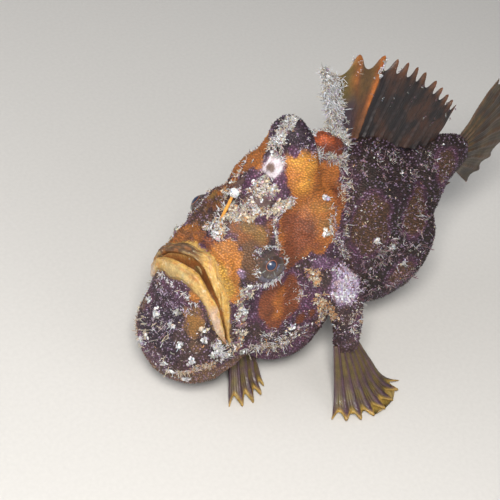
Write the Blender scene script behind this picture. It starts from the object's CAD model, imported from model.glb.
# Frogfish at rest: one warty skin over the solids, lips, eyes, lure, fins and its coat of filaments.
# Shapes are worked out in the fish's own frame in millimetres (x to the tail, y to its right, z to its
# back) and are set into the model's frame, in metres, as each piece is finished.
import math

import bmesh
import bpy
import numpy as np
from mathutils import Matrix, Vector
from mathutils.bvhtree import BVHTree


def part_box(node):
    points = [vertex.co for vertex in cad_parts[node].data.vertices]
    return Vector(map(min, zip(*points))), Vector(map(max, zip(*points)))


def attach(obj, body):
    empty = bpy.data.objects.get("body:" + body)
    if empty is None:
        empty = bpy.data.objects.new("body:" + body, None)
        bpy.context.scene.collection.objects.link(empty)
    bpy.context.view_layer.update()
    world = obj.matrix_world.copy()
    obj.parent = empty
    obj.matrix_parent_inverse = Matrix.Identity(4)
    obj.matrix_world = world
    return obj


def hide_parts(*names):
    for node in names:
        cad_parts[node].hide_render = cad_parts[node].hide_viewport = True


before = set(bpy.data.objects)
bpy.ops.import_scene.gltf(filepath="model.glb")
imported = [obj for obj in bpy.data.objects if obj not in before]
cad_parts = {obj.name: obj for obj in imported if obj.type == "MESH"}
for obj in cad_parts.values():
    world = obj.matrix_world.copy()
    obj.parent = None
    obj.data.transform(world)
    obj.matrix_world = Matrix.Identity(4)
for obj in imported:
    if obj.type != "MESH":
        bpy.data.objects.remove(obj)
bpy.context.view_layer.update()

# the fish's own frame
pose = dict(noseDown=4, swing=5.5, swingFrom=42, swingTo=95, lureAt=(11.2, 0, 25))
tilt = math.radians(pose["noseDown"])
turn = np.array([[math.cos(tilt), 0, -math.sin(tilt)], [0, 1, 0], [math.sin(tilt), 0, math.cos(tilt)]])
lureLow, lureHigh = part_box("lure")
origin = (np.array(lureLow) + np.array(lureHigh)) / 2 - turn @ np.array(pose["lureAt"]) / 1000


def swingAt(x):
    t = np.clip((x - pose["swingFrom"]) / (pose["swingTo"] - pose["swingFrom"]), 0, 1)
    return pose["swing"] * t * t * (3 - 2 * t)


def toWorld(points):
    p = np.array(points, float).reshape(-1, 3)
    p[:, 1] -= swingAt(p[:, 0])
    return p @ turn.T / 1000 + origin


def unit(v):
    return v / np.maximum(np.linalg.norm(v, axis=-1, keepdims=True), 1e-9)


def mix(a, b, t):
    return a + (b - a) * t


def blend(colour, hue, amount):  # mixes a hue in, by an amount for each point
    return mix(colour, hue, amount[:, None])


def ramp(x, low, high):
    t = np.clip((x - low) / (high - low), 0, 1)
    return t * t * (3 - 2 * t)


# smooth noise from -1 to 1, with lumps of the given size in mm
lattice = np.random.default_rng(3).random((32, 32, 32)) * 2 - 1


def lumps(p, size, seed=0):
    q = p / size + seed * 7.31 + 100
    cell = np.floor(q).astype(int)
    f = q - cell
    f = f * f * (3 - 2 * f)
    total = 0
    for corner in np.ndindex(2, 2, 2):
        at = (cell + np.array(corner)) % 32
        weight = np.prod(np.where(np.array(corner) == 1, f, 1 - f), axis=1)
        total = total + weight * lattice[at[:, 0], at[:, 1], at[:, 2]]
    return total


def curveThrough(points):  # a smooth line through named points, read at 0 to 1
    pts = np.array(points, float)
    pts = np.vstack([2 * pts[0] - pts[1], pts, 2 * pts[-1] - pts[-2]])

    def at(u):
        u = np.clip(np.asarray(u, float), 0, 1) * (len(pts) - 3)
        k = np.minimum(u.astype(int), len(pts) - 4)
        t = (u - k)[..., None]
        p0, p1, p2, p3 = (pts[k + i] for i in range(4))
        d0, d1, d2 = (
            np.maximum(np.linalg.norm(b - a, axis=-1, keepdims=True), 1e-4) ** 0.5
            for a, b in ((p0, p1), (p1, p2), (p2, p3))
        )
        m1 = ((p1 - p0) / d0 - (p2 - p0) / (d0 + d1) + (p2 - p1) / d1) * d1
        m2 = ((p2 - p1) / d1 - (p3 - p1) / (d1 + d2) + (p3 - p2) / d2) * d1
        return p1 + m1 * t + (3 * (p2 - p1) - 2 * m1 - m2) * t**2 + (2 * (p1 - p2) + m1 + m2) * t**3

    return at


def linear(rgb):  # a screen colour, 0 to 255, as light
    c = np.array(rgb, float) / 255
    return np.where(c <= 0.04045, c / 12.92, ((c + 0.055) / 1.055) ** 2.4)


# the flesh as one soft field
flesh = dict(melt=5, masses=[
    ((4.6, 0, -14.6), (13, 13, 14)),  # chin
    ((18, 0, 6.5), (15, 12, 15.5)),  # skull
    ((2.4, 0, -2), (6, 10.8, 11.6)),  # lower jaw
    ((8.2, 4.6, -0.8), (8.4, 7.6, 12)),  # muzzle
    ((15, 8, -7), (9.5, 8.2, 13)),  # cheek
    ((15.4, 9.2, 8.8), (4.9, 3.9, 4.9)),  # eye mound
    ((25, 0, 17.5), (9.5, 7.5, 13.5)),  # nape
    ((37, 0, 15), (13, 6.5, 13.5)),  # saddle
    ((31, 7.8, 8), (10, 8.4, 13.2)),  # shoulder
    ((26, 9, -13), (13.5, 9.4, 15.6)),  # gill chamber
    ((46, 0, -1), (25, 16.6, 23.5)),  # trunk
    ((58, 6.2, -11.5), (17.5, 12.2, 17)),  # belly
    ((70, 0, -3), (13, 9, 13)),  # rump
    ((79, 0, 3), (14, 5, 8)),  # tail stalk
])
fleshMasses = []
for middle, radii in flesh["masses"]:
    for side in (1, -1) if middle[1] else (1,):  # what stands off the middle has its like on the other side
        fleshMasses.append((np.array(middle, float) * (1, side, 1), np.array(radii, float)))


def fleshField(p):
    total = 0
    for middle, radii in fleshMasses:
        d = p - middle
        scaled = np.linalg.norm(d / radii, axis=1)
        steep = np.linalg.norm(d / radii**2, axis=1)
        total = total + np.exp(-4 / flesh["melt"] * scaled * (scaled - 1) / np.maximum(steep, 1e-9))
    return -flesh["melt"] / 4 * np.log(total)


def slope(p, field, d=0.15):
    out = np.zeros_like(p)
    for k in range(3):
        step = np.zeros(3)
        step[k] = d
        out[:, k] = (field(p + step) - field(p - step)) / (2 * d)
    return out


def skinAlong(start, way, field=fleshField):  # where a ray from inside comes out
    way = np.atleast_2d(way)
    inside = np.zeros(len(way))
    for t in np.arange(1.5, 60, 1.5):
        inside[field(start + way * t) < 0] = t
    outside = inside + 1.5
    for _ in range(13):
        middle = (inside + outside) / 2
        hit = field(start + way * middle[:, None]) < 0
        inside, outside = np.where(hit, middle, inside), np.where(hit, outside, middle)
    return start + way * inside[:, None]


def smoothJoin(a, b, k):
    h = np.clip(0.5 + 0.5 * (b - a) / k, 0, 1)
    return b * (1 - h) + a * h - k * h * (1 - h)


# arms and the fleshy spines on the back, each a line of points with radii
def arm(side):
    line = [(30, 10, -4), (34.5, 17.5, -5), (35.6, 21.2, -12), (35, 23.8, -20.8)]
    return dict(line=[(x, side * y, z) for x, y, z in line], radii=(7, 5.2, 3.6, 3), melt=2.5)


limbs = dict(
    armLeft=arm(-1),
    armRight=arm(1),
    secondSpine=dict(line=[(16, 0, 17), (17, 0, 26), (22.5, 0, 33)], radii=(1.7, 1.5, 0.9), melt=1.4),
    secondWeb=dict(line=[(20, 0, 18), (20.6, 0, 24), (23, 0, 29)], radii=(3.2, 2.6, 1.6), melt=1.6,
                   squeeze=(1, 0.28, 1)),
    thirdSpine=dict(line=[(28, 0, 22), (27.6, 0, 31), (25.8, 0, 36.6)], radii=(8, 7, 5.8, 4.6, 1.6), melt=2.5,
                    squeeze=(0.8, 1, 1)),
)
for limb in limbs.values():
    t = np.linspace(0, 1, 40)
    place = t * (len(limb["radii"]) - 1)
    low = np.minimum(place.astype(int), len(limb["radii"]) - 2)
    r = np.array(limb["radii"], float)
    limb["radius"] = mix(r[low], r[low + 1], ramp(place - low, 0, 1))
    limb["centres"] = curveThrough(limb["line"])(t)
    limb["scale"] = np.array(limb.get("squeeze", (1, 1, 1)), float)


def limbField(p, limb):
    out = np.full(len(p), 40.0)
    reach = limb["radii"][0] + 6
    low = limb["centres"].min(0) - reach
    high = limb["centres"].max(0) + reach
    near = np.all((p > low) & (p < high), axis=1)
    if near.any():
        d = (p[near, None, :] - limb["centres"][None]) / limb["scale"]
        out[near] = (np.linalg.norm(d, axis=2) - limb["radius"]).min(1) * limb["scale"].min() ** 0.3
    return out


eye = dict(at=(14.6, 10.9, 9.7), out=(-0.37, 0.76, 0.53), gaze=(-0.469, 0.62, 0.629), radius=3.5, lidOut=1.5,
           lidRing=3.35, lidThick=0.62, pupil=(0.95, 1.2), pupilTurn=38)
eyes = {}
for name, side in (("left", -1), ("right", 1)):
    middle, out, gaze = (np.array(eye[k], float) * (1, side, 1) for k in ("at", "out", "gaze"))
    out = unit(out)
    eyes[name] = dict(side=side, centre=middle, out=out, gaze=unit(gaze), lid=middle + out * eye["lidOut"])


def bodyField(p):
    f = fleshField(p)
    for limb in limbs.values():
        f = smoothJoin(f, limbField(p, limb), limb["melt"])
    for one in eyes.values():
        d = p - one["lid"]
        lift = d @ one["out"]
        ring = np.linalg.norm(d - lift[:, None] * one["out"], axis=1) - eye["lidRing"]
        f = smoothJoin(f, np.hypot(ring, lift) - eye["lidThick"], 0.8)
        f = np.maximum(f, eye["radius"] - 0.12 - np.linalg.norm(p - one["centre"], axis=1))
    return f


# the mouth's own plane
gape = dict(corner=(4.3, 0, -7.9), lean=13, deep=3.4)
lean = math.radians(gape["lean"])
gapeCorner = np.array(gape["corner"], float)
gapeUp = np.array([-math.sin(lean), 0, math.cos(lean)])
gapeFront = np.array([-math.cos(lean), 0, -math.sin(lean)])


mouth = dict(  # how far each edge stands across the slit, by the angle round the arch
    lowerInner=[
        (0, 0.5), (8, 0.3), (14, 0.25), (21, 0.6), (30, 0.8), (43, 0.9), (57, 1.15), (80, 1.05), (99, 1)],
    lowerOuter=[
        (0, 3), (5, 3.1), (10, 2.95), (15, 2.8), (22, 2.65), (30, 2.6), (43, 2.95), (52, 3), (63, 2.95),
        (81, 2.1), (99, 1.4)],
    upperInner=[
        (0, -1.6), (9, -1.45), (15, -0.95), (24, -0.4), (32, 0.1), (39, 0.5), (57, 0.9), (80, 0.8),
        (99, 0.9)],
    upperOuter=[
        (0, -3.2), (5, -3.9), (9, -4.4), (13, -3.9), (19, -2.8), (24, -1.9), (32, -0.95), (40, 0.1),
        (44, 0.4)],
    strapInner=[(18, -1.2), (24, -1.3), (30, -0.85), (39, 0.2), (57, 0.8), (80, 0.7), (99, 0.8)],
    strapOuter=[(18, -2.2), (25, -2.5), (32, -2.2), (43, -1.5), (60, -0.4), (80, 0), (99, 0.2)],
)


def edge(name, degrees):  # the right half of the mouth stands a little further out
    turns, across = zip(*mouth[name])
    even = sum(np.interp(np.abs(degrees) + o, turns, across) for o in (-5, -2.5, 0, 2.5, 5)) / 5
    return even + 0.9 * ramp(degrees, -6, 14) * ramp(degrees, 84, 56)


def mouthPlace(p):  # across the slit, up from the corner line, and the angle round the arch in degrees
    d = p - gapeCorner
    across, up = d @ gapeFront, d @ gapeUp
    return across, up, np.degrees(np.arctan2(p[:, 1], up))


# mesh helpers
def readCoords(mesh):
    co = np.zeros(len(mesh.vertices) * 3)
    mesh.vertices.foreach_get("co", co)
    return co.reshape(-1, 3)


def writeCoords(mesh, co):
    mesh.vertices.foreach_set("co", np.asarray(co, np.float32).ravel())
    mesh.update()


def readNormals(mesh):
    n = np.zeros(len(mesh.vertices) * 3)
    mesh.vertex_normals.foreach_get("vector", n)
    return n.reshape(-1, 3)


def meshFrom(bm, name):
    mesh = bpy.data.meshes.new(name)
    bm.to_mesh(mesh)
    bm.free()
    return mesh


def addObject(name, mesh):
    piece = bpy.data.objects.new(name, mesh)
    bpy.context.scene.collection.objects.link(piece)
    return piece


def smoothFaces(mesh):
    mesh.polygons.foreach_set("use_smooth", np.ones(len(mesh.polygons), bool))


def setTint(mesh, colours, name="tint"):
    layer = mesh.attributes.new(name, "FLOAT_COLOR", "POINT")
    rgba = np.ones((len(mesh.vertices), 4), np.float32)
    rgba[:, :3] = np.clip(colours, 0, 1)
    layer.data.foreach_set("color", rgba.ravel())


def setValue(mesh, name, values):
    layer = mesh.attributes.new(name, "FLOAT", "POINT")
    layer.data.foreach_set("value", np.asarray(values, np.float32).ravel())


def bakedMesh(piece):  # the mesh that the modifiers give
    bpy.context.view_layer.update()
    shaped = bpy.data.meshes.new_from_object(piece.evaluated_get(bpy.context.evaluated_depsgraph_get()))
    piece.modifiers.clear()
    piece.data = shaped
    return shaped


def sheet(name, nu, nv, shape, closed=False):  # a grid laid out by shape(u, v); closed joins u=0 to u=1
    bm = bmesh.new()
    bmesh.ops.create_grid(bm, x_segments=nu, y_segments=nv, size=0.5)
    layerU = bm.verts.layers.float.new("u")
    layerV = bm.verts.layers.float.new("v")
    uv = np.array([v.co[:2] for v in bm.verts]) + 0.5
    points = shape(uv[:, 0], uv[:, 1])
    for vert, p, (u, v) in zip(bm.verts, points, uv):
        vert.co = p
        vert[layerU], vert[layerV] = u, v
    if closed:
        bmesh.ops.remove_doubles(bm, verts=bm.verts, dist=0.002)
        caps = bmesh.ops.holes_fill(bm, edges=bm.edges, sides=0)["faces"]
        bmesh.ops.triangulate(bm, faces=caps)
        bmesh.ops.recalc_face_normals(bm, faces=bm.faces)
    mesh = meshFrom(bm, name)
    smoothFaces(mesh)
    return addObject(name, mesh)


def readValue(mesh, name):
    values = np.zeros(len(mesh.vertices))
    mesh.attributes[name].data.foreach_get("value", values)
    return values


# materials
def newMaterial(name):
    material = bpy.data.materials.new(name)
    material.use_nodes = True
    return material, material.node_tree, material.node_tree.nodes["Principled BSDF"]


def feed(node, inputs):  # gives each input a value, or links an output to it
    for key, value in inputs.items():
        if isinstance(value, bpy.types.NodeSocket):
            node.id_data.links.new(value, node.inputs[key])
        else:
            node.inputs[key].default_value = value


def addNode(tree, kind, inputs, **settings):
    node = tree.nodes.new(f"ShaderNode{kind}")
    for key, value in settings.items():
        setattr(node, key, value)
    feed(node, inputs)
    return node


def addMath(tree, operation, *values):
    return addNode(tree, "Math", dict(enumerate(values)), operation=operation).outputs["Value"]


def addRange(tree, value, low, high, lowResult=0, highResult=1):
    inputs = {"Value": value, "From Min": low, "From Max": high, "To Min": lowResult, "To Max": highResult}
    return addNode(tree, "MapRange", inputs).outputs["Result"]


def addTint(tree, amount, below, rgb):
    return addNode(tree, "Mix", {0: amount, 6: below, 7: (*linear(rgb), 1)}, data_type="RGBA").outputs[2]


def addNoise(tree, place, scale, **settings):
    return addNode(tree, "TexNoise", {"Vector": place, "Scale": scale}, **settings)


def tissue(name, rough=0.6, coat=0, subsurface=0.1, depth=0.0012, grainSize=0.0003, grainBump=0.1,
           mottle=0.25, mottleSize=0.0014, sheen=0):
    material, tree, bsdf = newMaterial(name)
    place = addNode(tree, "TexCoord", {}).outputs["Object"]
    tint = addNode(tree, "Attribute", {}, attribute_name="tint").outputs["Color"]
    spots = addNoise(tree, place, 1 / mottleSize)
    feed(spots, {"Detail": 4})
    grain = addNode(tree, "TexVoronoi", {"Vector": place, "Scale": 1 / grainSize, "Randomness": 0.8},
                    feature="SMOOTH_F1").outputs["Distance"]
    shade = addRange(tree, spots.outputs["Fac"], 0.3, 0.7, 1 - mottle, 1 + mottle)
    pits = addRange(tree, grain, 0.1, 0.75, 1.12, 0.72)
    scaled = addNode(tree, "VectorMath", {0: tint, "Scale": addMath(tree, "MULTIPLY", shade, pits)},
                     operation="SCALE").outputs["Vector"]
    bump = addNode(tree, "Bump", {"Strength": 0.6, "Distance": grainBump / 1000, "Height": grain},
                   invert=True)
    feed(bsdf, {
        "Base Color": scaled, "Normal": bump.outputs["Normal"], "Roughness": rough, "Sheen Weight": sheen,
        "Coat Weight": coat, "Coat Roughness": 0.12, "Subsurface Weight": subsurface,
        "Subsurface Scale": depth, "Subsurface Radius": (1, 0.5, 0.3),
    })
    return material


def finish(piece, material, slot, *nodes):
    piece.data.materials.clear()
    piece.data.materials.append(material)
    writeCoords(piece.data, toWorld(readCoords(piece.data)))
    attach(piece, "root")
    if nodes:
        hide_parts(*nodes)
    return piece


# markings: named patches and lines, the same on both sides
hues = dict(
    base=(84, 60, 58), purple=(102, 62, 90), plum=(140, 102, 136), deepPurple=(54, 36, 50),
    gold=(240, 172, 72), amber=(190, 118, 54), redBrown=(138, 77, 46), orange=(208, 138, 62),
    olive=(148, 112, 58), tan=(206, 166, 112), brown=(118, 84, 56), darkBrown=(92, 64, 46),
    darkAmber=(146, 92, 48), bare=(96, 72, 68), white=(206, 196, 202), lilac=(180, 152, 186),
    red=(128, 66, 44), redOrange=(190, 96, 52), lip=(200, 160, 88), lining=(150, 92, 44),
    chinBrown=(122, 92, 66), flank=(92, 64, 44), belly=(112, 90, 76), yellow=(214, 168, 72),
    eyeSkin=(76, 62, 54), lid=(124, 120, 136), chinGold=(168, 124, 66), hole=(122, 100, 92),
)
hues = {name: linear(rgb) for name, rgb in hues.items()}
# later patches lie over earlier ones; spots are x, y, z, radius, on both sides unless a side is given
patches = [
    dict(hue="belly", soft=4, spots=[(30, 0, -24, 11), (48, 0, -24, 12), (62, 6, -26, 9)]),
    dict(hue="chinBrown", soft=2.5, spots=[
        (-4, 6, -20, 3.4), (0, 10, -19, 4.4), (6, 12, -21, 6), (-7, 0, -23, 4)]),
    dict(hue="deepPurple", soft=2, spots=[
        (-3.7, 3.4, -2, 2), (-5.6, 1, -5.6, 2.6), (-7.4, 2.1, -10, 2.6), (-6.6, 4.4, -12, 2)]),
    dict(hue="flank", soft=1.4, rim="purple", spots=[(45, 13, 9, 6), (46, 14, 4, 5), (42, 14.2, 9, 4.5)]),
    dict(hue="flank", soft=1.4, rim="purple", spots=[
        (62, 14, 3, 5), (67, 12, 5, 4), (58, 17, -12, 4), (80, 4, 5, 4)]),
    dict(hue="amber", soft=0.7, rim="purple", spots=[
        (25.1, 5.1, 31.4, 2.6), (28.9, 6.6, 29.1, 3.2), (23.9, 5.5, 27.8, 2), (25.7, 7.6, 25.5, 3.2),
        (29, 9.4, 23.7, 3.4), (34.9, 6.3, 22.9, 3.4), (32.7, 10.7, 22.7, 3), (29.2, 12.9, 21.7, 3),
        (26.8, 13.2, 20.1, 3), (37.4, 5.6, 22.8, 2.4), (36, 9.5, 20.8, 2), (22.8, 8.6, 21, 2.4),
        (21.3, 8.9, 18.1, 2.8), (25.9, 14, 18.1, 3), (23.7, 13.5, 15.8, 3.4), (27.6, 15.6, 15.6, 2),
        (22.8, 10.8, 17.2, 3), (19.3, 10, 15.5, 2.6), (21.2, 11.9, 12.7, 3), (18.7, 12.5, 11.4, 2.4),
        (22.6, 13.6, 11.4, 2.2), (19.8, 12.8, 8.6, 1.6), (31.7, 5.7, 26.7, 1.9), (30.9, 6.6, 26, 2.2),
        (31.5, 6.8, 24, 2), (26.1, 8.5, 21.1, 1.8), (36.4, 9.1, 19.4, 2), (34.4, 11.6, 18.8, 2),
        (31.6, 13.4, 17.4, 2), (29.8, 14.4, 15.6, 2), (28.6, 14.8, 12.8, 1.8), (26.8, 15, 11, 1.6)]),
    dict(hue="redBrown", soft=2.6, spots=[
        (21.3, 8.9, 17.6, 2.6), (22.8, 10.8, 17.2, 2.9), (21.2, 11.9, 12.7, 3.3), (18.7, 12.5, 11.4, 2.6),
        (19.8, 12.8, 8.6, 2), (23.6, 12.2, 14.8, 3), (26, 14.2, 12, 1.4), (36.6, 8.6, 20, 1.8),
        (34.6, 11.6, 18.6, 1.2), (33.4, 7, 24.6, 0.8)]),
    dict(hue="gold", soft=4, spots=[
        (25.1, 5.1, 31.4, 2.4), (28, 6.6, 29.1, 2.4), (25.9, 7.6, 25.5, 2.2), (28, 12, 21, 1.4)]),
    dict(hue="olive", soft=2.6, spots=[(28.2, 15, 17.6, 2), (30, 12.6, 21.4, 1.4)]),
    dict(hue="darkAmber", soft=1.4, spots=[
        (10.1, 3.7, 18.6, 1.6), (11.5, 5.5, 18.4, 2), (12.3, 7.5, 17.1, 1.8), (10.1, 6.4, 16.8, 2),
        (14, 8.6, 16.4, 1.6), (16.6, 7.8, 18.6, 1.6)]),
    dict(hue="olive", soft=1.8, spots=[(12, 5.6, 18.6, 1.6), (13.4, 8, 17.4, 1.6)]),
    dict(hue="brown", soft=1.8, spots=[
        (10.2, 8, 15, 1.6), (10.2, 9.2, 13.4, 1.6), (9, 9.6, 11.6, 1.6), (9.2, 10.8, 9.2, 1.6),
        (8.7, 8.8, 12, 1.2), (11, 10.6, 11, 1.8)]),
    dict(hue="redBrown", soft=1, spots=[
        (4.2, 4.3, 13.3, 1.4), (4.1, 2.3, 14.2, 1.4), (4.1, 0.3, 14.8, 1.4), (4.6, 6.5, 11.8, 1.2)]),
    dict(hue="orange", soft=1, spots=[
        (5.4, 4.4, 14.1, 1.8), (6, 6.6, 13, 2.2), (5.4, 8.3, 11.1, 2.2), (4, 8.8, 9.7, 1.6),
        (7.2, 5.2, 15, 1.5), (5.2, 9.6, 8.4, 1.8), (4.8, 10.8, 6, 1.6), (5.4, 11.4, 4, 1)]),
    dict(hue="yellow", soft=1.4, spots=[
        (3.4, 6.6, 10, 1.3), (3.4, 8.8, 7.6, 1.4), (4.4, 9.8, 6.4, 1), (2.6, 4.6, 10.6, 1)]),
    dict(hue="lilac", soft=0.8, spots=[(7.4, 9.4, 10, 0.7), (7.7, 10, 8.8, 0.6)]),
    dict(hue="redBrown", soft=0.9, rim="purple", spots=[
        (14.7, 14.8, 1, 3.2), (13.4, 13.7, 4.2, 2), (16.6, 14.1, 2.6, 2.6), (12.6, 14.9, -0.2, 2.4),
        (15.9, 15.9, -2.2, 2.8), (14.1, 16.2, -4.2, 2.6), (19.2, 14.2, 2.6, 2.4), (19.6, 15, -0.4, 2.2),
        (17.4, 16, -3.6, 1.8), (21.4, 14.4, 1.4, 1.7), (21.8, 15.4, -1.6, 1.5), (20, 16.2, -4, 1.5)]),
    dict(hue="amber", soft=2.4, spots=[(17.6, 14.6, 1.6, 1.4), (15, 14.8, 0, 1.2), (15, 15.8, -3, 1)]),
    dict(hue="redBrown", soft=1, spots=[
        (23.4, 16, -3.4, 1.3), (22.4, 17, -8, 1.5), (25.6, 17.6, -7.6, 1.4)]),
    dict(hue="chinGold", side=-1, soft=1.4, spots=[
        (-3.1, -5.2, -0.4, 1), (-2.7, -6.8, -1.2, 1.4), (-3, -6.5, -3.4, 1.2), (-3.1, -7.3, -5, 1.3),
        (-2.3, -7.8, -1.8, 1.5), (-2.2, -6.5, 1.2, 0.9)]),
    dict(hue="redBrown", side=-1, soft=1, spots=[(-2.6, -4.7, 2.9, 0.7), (-2.2, -5.8, 2.9, 0.8)]),
    dict(hue="orange", side=-1, soft=0.6, spots=[(-2.2, -4.6, 4.2, 0.7), (-1.9, -5.6, 4.1, 0.8)]),
    dict(hue="chinBrown", soft=1.4, spots=[(-2.6, 6.6, 0.6, 1), (-3, 8.2, -9, 1.4)]),
    dict(hue="red", soft=1, spots=[
        (38.3, 0.6, 29, 1.8), (39.4, 2.4, 27.6, 1.7), (40.8, 3.4, 26, 1.5), (37.9, 2.8, 27, 1.5),
        (35.9, 0.9, 28.5, 1.7), (36.9, 2.2, 27.6, 1.5), (40.4, 1.4, 27.8, 1.6)]),
    dict(hue="redOrange", soft=1, spots=[
        (37.6, 0.2, 29.2, 0.9), (38.6, 1, 28.8, 0.9), (39.6, 1.8, 28.2, 0.8), (36.2, 0.3, 28.8, 0.7)]),
    dict(hue="plum", soft=1.4, spots=[(28.5, 16.6, 5.6, 2.4), (32, 17, 4, 2), (25.4, 16, 7.4, 1.8)]),
    dict(hue="purple", soft=1.4, spots=[(25, 16.6, -4, 2.6), (12.6, 12.6, 5, 1.2), (18, 13.2, 4.6, 1.2)]),
    dict(hue="deepPurple", soft=1.6, spots=[(28, 0, 35, 5.6), (26.4, 0, 39, 4.4)]),
    dict(hue="purple", soft=1, spots=[
        (15, 0.2, 24.6, 1.6), (15.6, 0.1, 26.6, 1.4), (21, 3.9, 27.3, 1), (21, 2.6, 28.9, 0.9),
        (19.9, 5, 25, 1), (19.8, 5.6, 23.4, 0.9), (24.4, 4, 33.4, 1.2)]),
    dict(hue="lilac", soft=1.2, spots=[(33.5, 19, -1, 3), (33, 20.8, -3, 2.6), (35, 20.4, -1.6, 2.4)]),
    dict(hue="bare", soft=0.6, bare=True, spots=[
        (14.7, 1.8, 22.3, 1.1), (15.6, 3.5, 21.8, 1.3), (16.9, 4.7, 21.8, 1.2), (17.2, 3.4, 22.8, 1.2),
        (20.6, 5.9, 22, 0.9)]),
    dict(hue="amber", side=1, soft=0.8, spots=[
        (22.3, 4.1, 29, 1.5), (21.4, 3.4, 28.4, 1.5), (20.4, 3.3, 27.4, 1.4), (21, 5.4, 26.6, 1.7),
        (19.6, 4.6, 25.4, 1.5), (21, 6.4, 24.6, 1.7), (23.4, 5.4, 29, 1.8), (18.4, 0.4, 29.6, 0.8),
        (19.6, 1.6, 29.2, 1)]),
    dict(hue="white", side=-1, soft=0.5, bare=True, spots=[
        (20.6, -0.8, 31.2, 0.9), (21.4, -1.2, 30.8, 0.9), (21.7, -2.4, 29.5, 0.9), (20.6, -2.4, 28.6, 0.9),
        (19.8, -1.4, 29.8, 0.9), (19.4, -1.8, 28.8, 0.7)]),
    dict(hue="hole", side=-1, soft=0.3, bare=True, spots=[
        (19.6, -1.3, 29.9, 0.28), (20, -1.5, 29.3, 0.34), (20.3, -1.8, 28.8, 0.28)]),
    dict(hue="darkBrown", side=1, soft=2, spots=[
        (7.1, 7.2, 12.6, 2.2), (6.9, 3.3, 15.8, 1.8), (6.3, 0.4, 16.5, 1.2), (10.4, 10.2, 12.2, 2.6),
        (10.3, 7.3, 16.1, 2.2), (8.1, 3.2, 17.4, 1.6), (7.2, 5.3, 14.7, 1.8), (12, 6, 18, 1.6)]),
    dict(hue="olive", side=1, soft=1.6, spots=[(9.6, 5.6, 16.6, 1), (12.8, 8, 17, 1.2)]),
    dict(hue="darkAmber", side=1, soft=1.2, spots=[
        (4.8, 5, 13.7, 1.4), (4.6, 1.5, 14.8, 1.4), (5.1, 8.4, 10.8, 1.6), (2.6, 8.9, 7, 1.6),
        (3.5, 7.6, 9.1, 1.7), (4, 5.8, 10.7, 1.7), (4.2, 3.5, 12.2, 1.5)]),
    dict(hue="amber", side=1, soft=0.9, spots=[
        (3, 8.2, 7.6, 0.8), (3.7, 6.4, 10.2, 0.9), (4.3, 2.8, 13, 1)]),
    dict(hue="yellow", side=1, soft=0.7, spots=[
        (1.5, 5.6, 8.9, 0.6), (2.1, 4.3, 10.2, 0.7), (2.9, 3.5, 10.9, 0.7), (3.3, 2.4, 11.6, 0.6)]),
    dict(hue="amber", side=1, soft=1, spots=[
        (14.5, 6.3, 19.4, 1.8), (17.6, 6, 21, 1.8), (20.1, 5.8, 23.5, 1.9), (21.5, 5.6, 27, 1.6),
        (23.5, 7.5, 24.5, 3), (21, 8.4, 20, 2.8), (24.3, 15.2, 12.2, 3), (24.2, 12.6, 17.4, 3.4)]),
]


freeHues = ("purple", "plum", "deepPurple", "lilac", "chinBrown", "belly", "flank", "darkBrown")


def paint(p):
    side = np.where(p[:, 1] > 0, 1.0, 0.0)
    q = np.c_[p[:, 0], np.abs(p[:, 1]), p[:, 2]]
    wander = lumps(p, 2.3, 1) * 0.8 + lumps(p, 0.9, 2) * 0.45 + lumps(p, 6, 3) * 1.2 * side
    blotch = lumps(p, 5.5, 4) + 0.5 * lumps(p, 2, 5)
    colour = blend(hues["base"], hues["purple"], ramp(blotch, -0.2, 0.5) * 0.85)
    colour = blend(colour, hues["deepPurple"], ramp(lumps(p, 3.5, 6), 0.1, 0.6) * 0.7)
    colour = blend(colour, hues["flank"] * 0.7, ramp(p[:, 0], 37, 46) * 0.4)
    colour = colour * mix(1, 0.34, ramp(p[:, 0], 35, 52))[:, None]
    grain = np.ones(len(p))
    free = np.ones(len(p))  # 1 where the granules are mixed and pale, 0 where they are even
    for patch in patches:
        own = p if "side" in patch else q
        near = sum(np.exp((r - np.linalg.norm(own - (x, y, z), axis=1)) / 0.7)
                   for x, y, z, r in patch["spots"])
        d = -0.7 * np.log(near + 1e-30) + wander * min(1, 0.5 + 0.3 * patch["soft"])
        if "rim" in patch:
            rim = ramp(d, 2.0, 0.6) * (0.75 + 0.25 * lumps(p, 1.4, 7))
            colour = blend(colour, hues[patch["rim"]], rim * 0.95)
        inside = ramp(d, patch["soft"] / 2, -patch["soft"] / 2)
        hue = hues[patch["hue"]] * (1 + 0.16 * lumps(p, 3, 8))[:, None]
        colour = blend(colour, hue, inside)
        if "bare" in patch:
            grain = grain * (1 - inside)
        free = mix(free, float(patch["hue"] in freeHues), inside)
    colour = colour * (1 + 0.14 * lumps(p, 1.5, 9) + 0.1 * lumps(p, 8, 10))[:, None]
    return colour, grain, free


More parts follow.
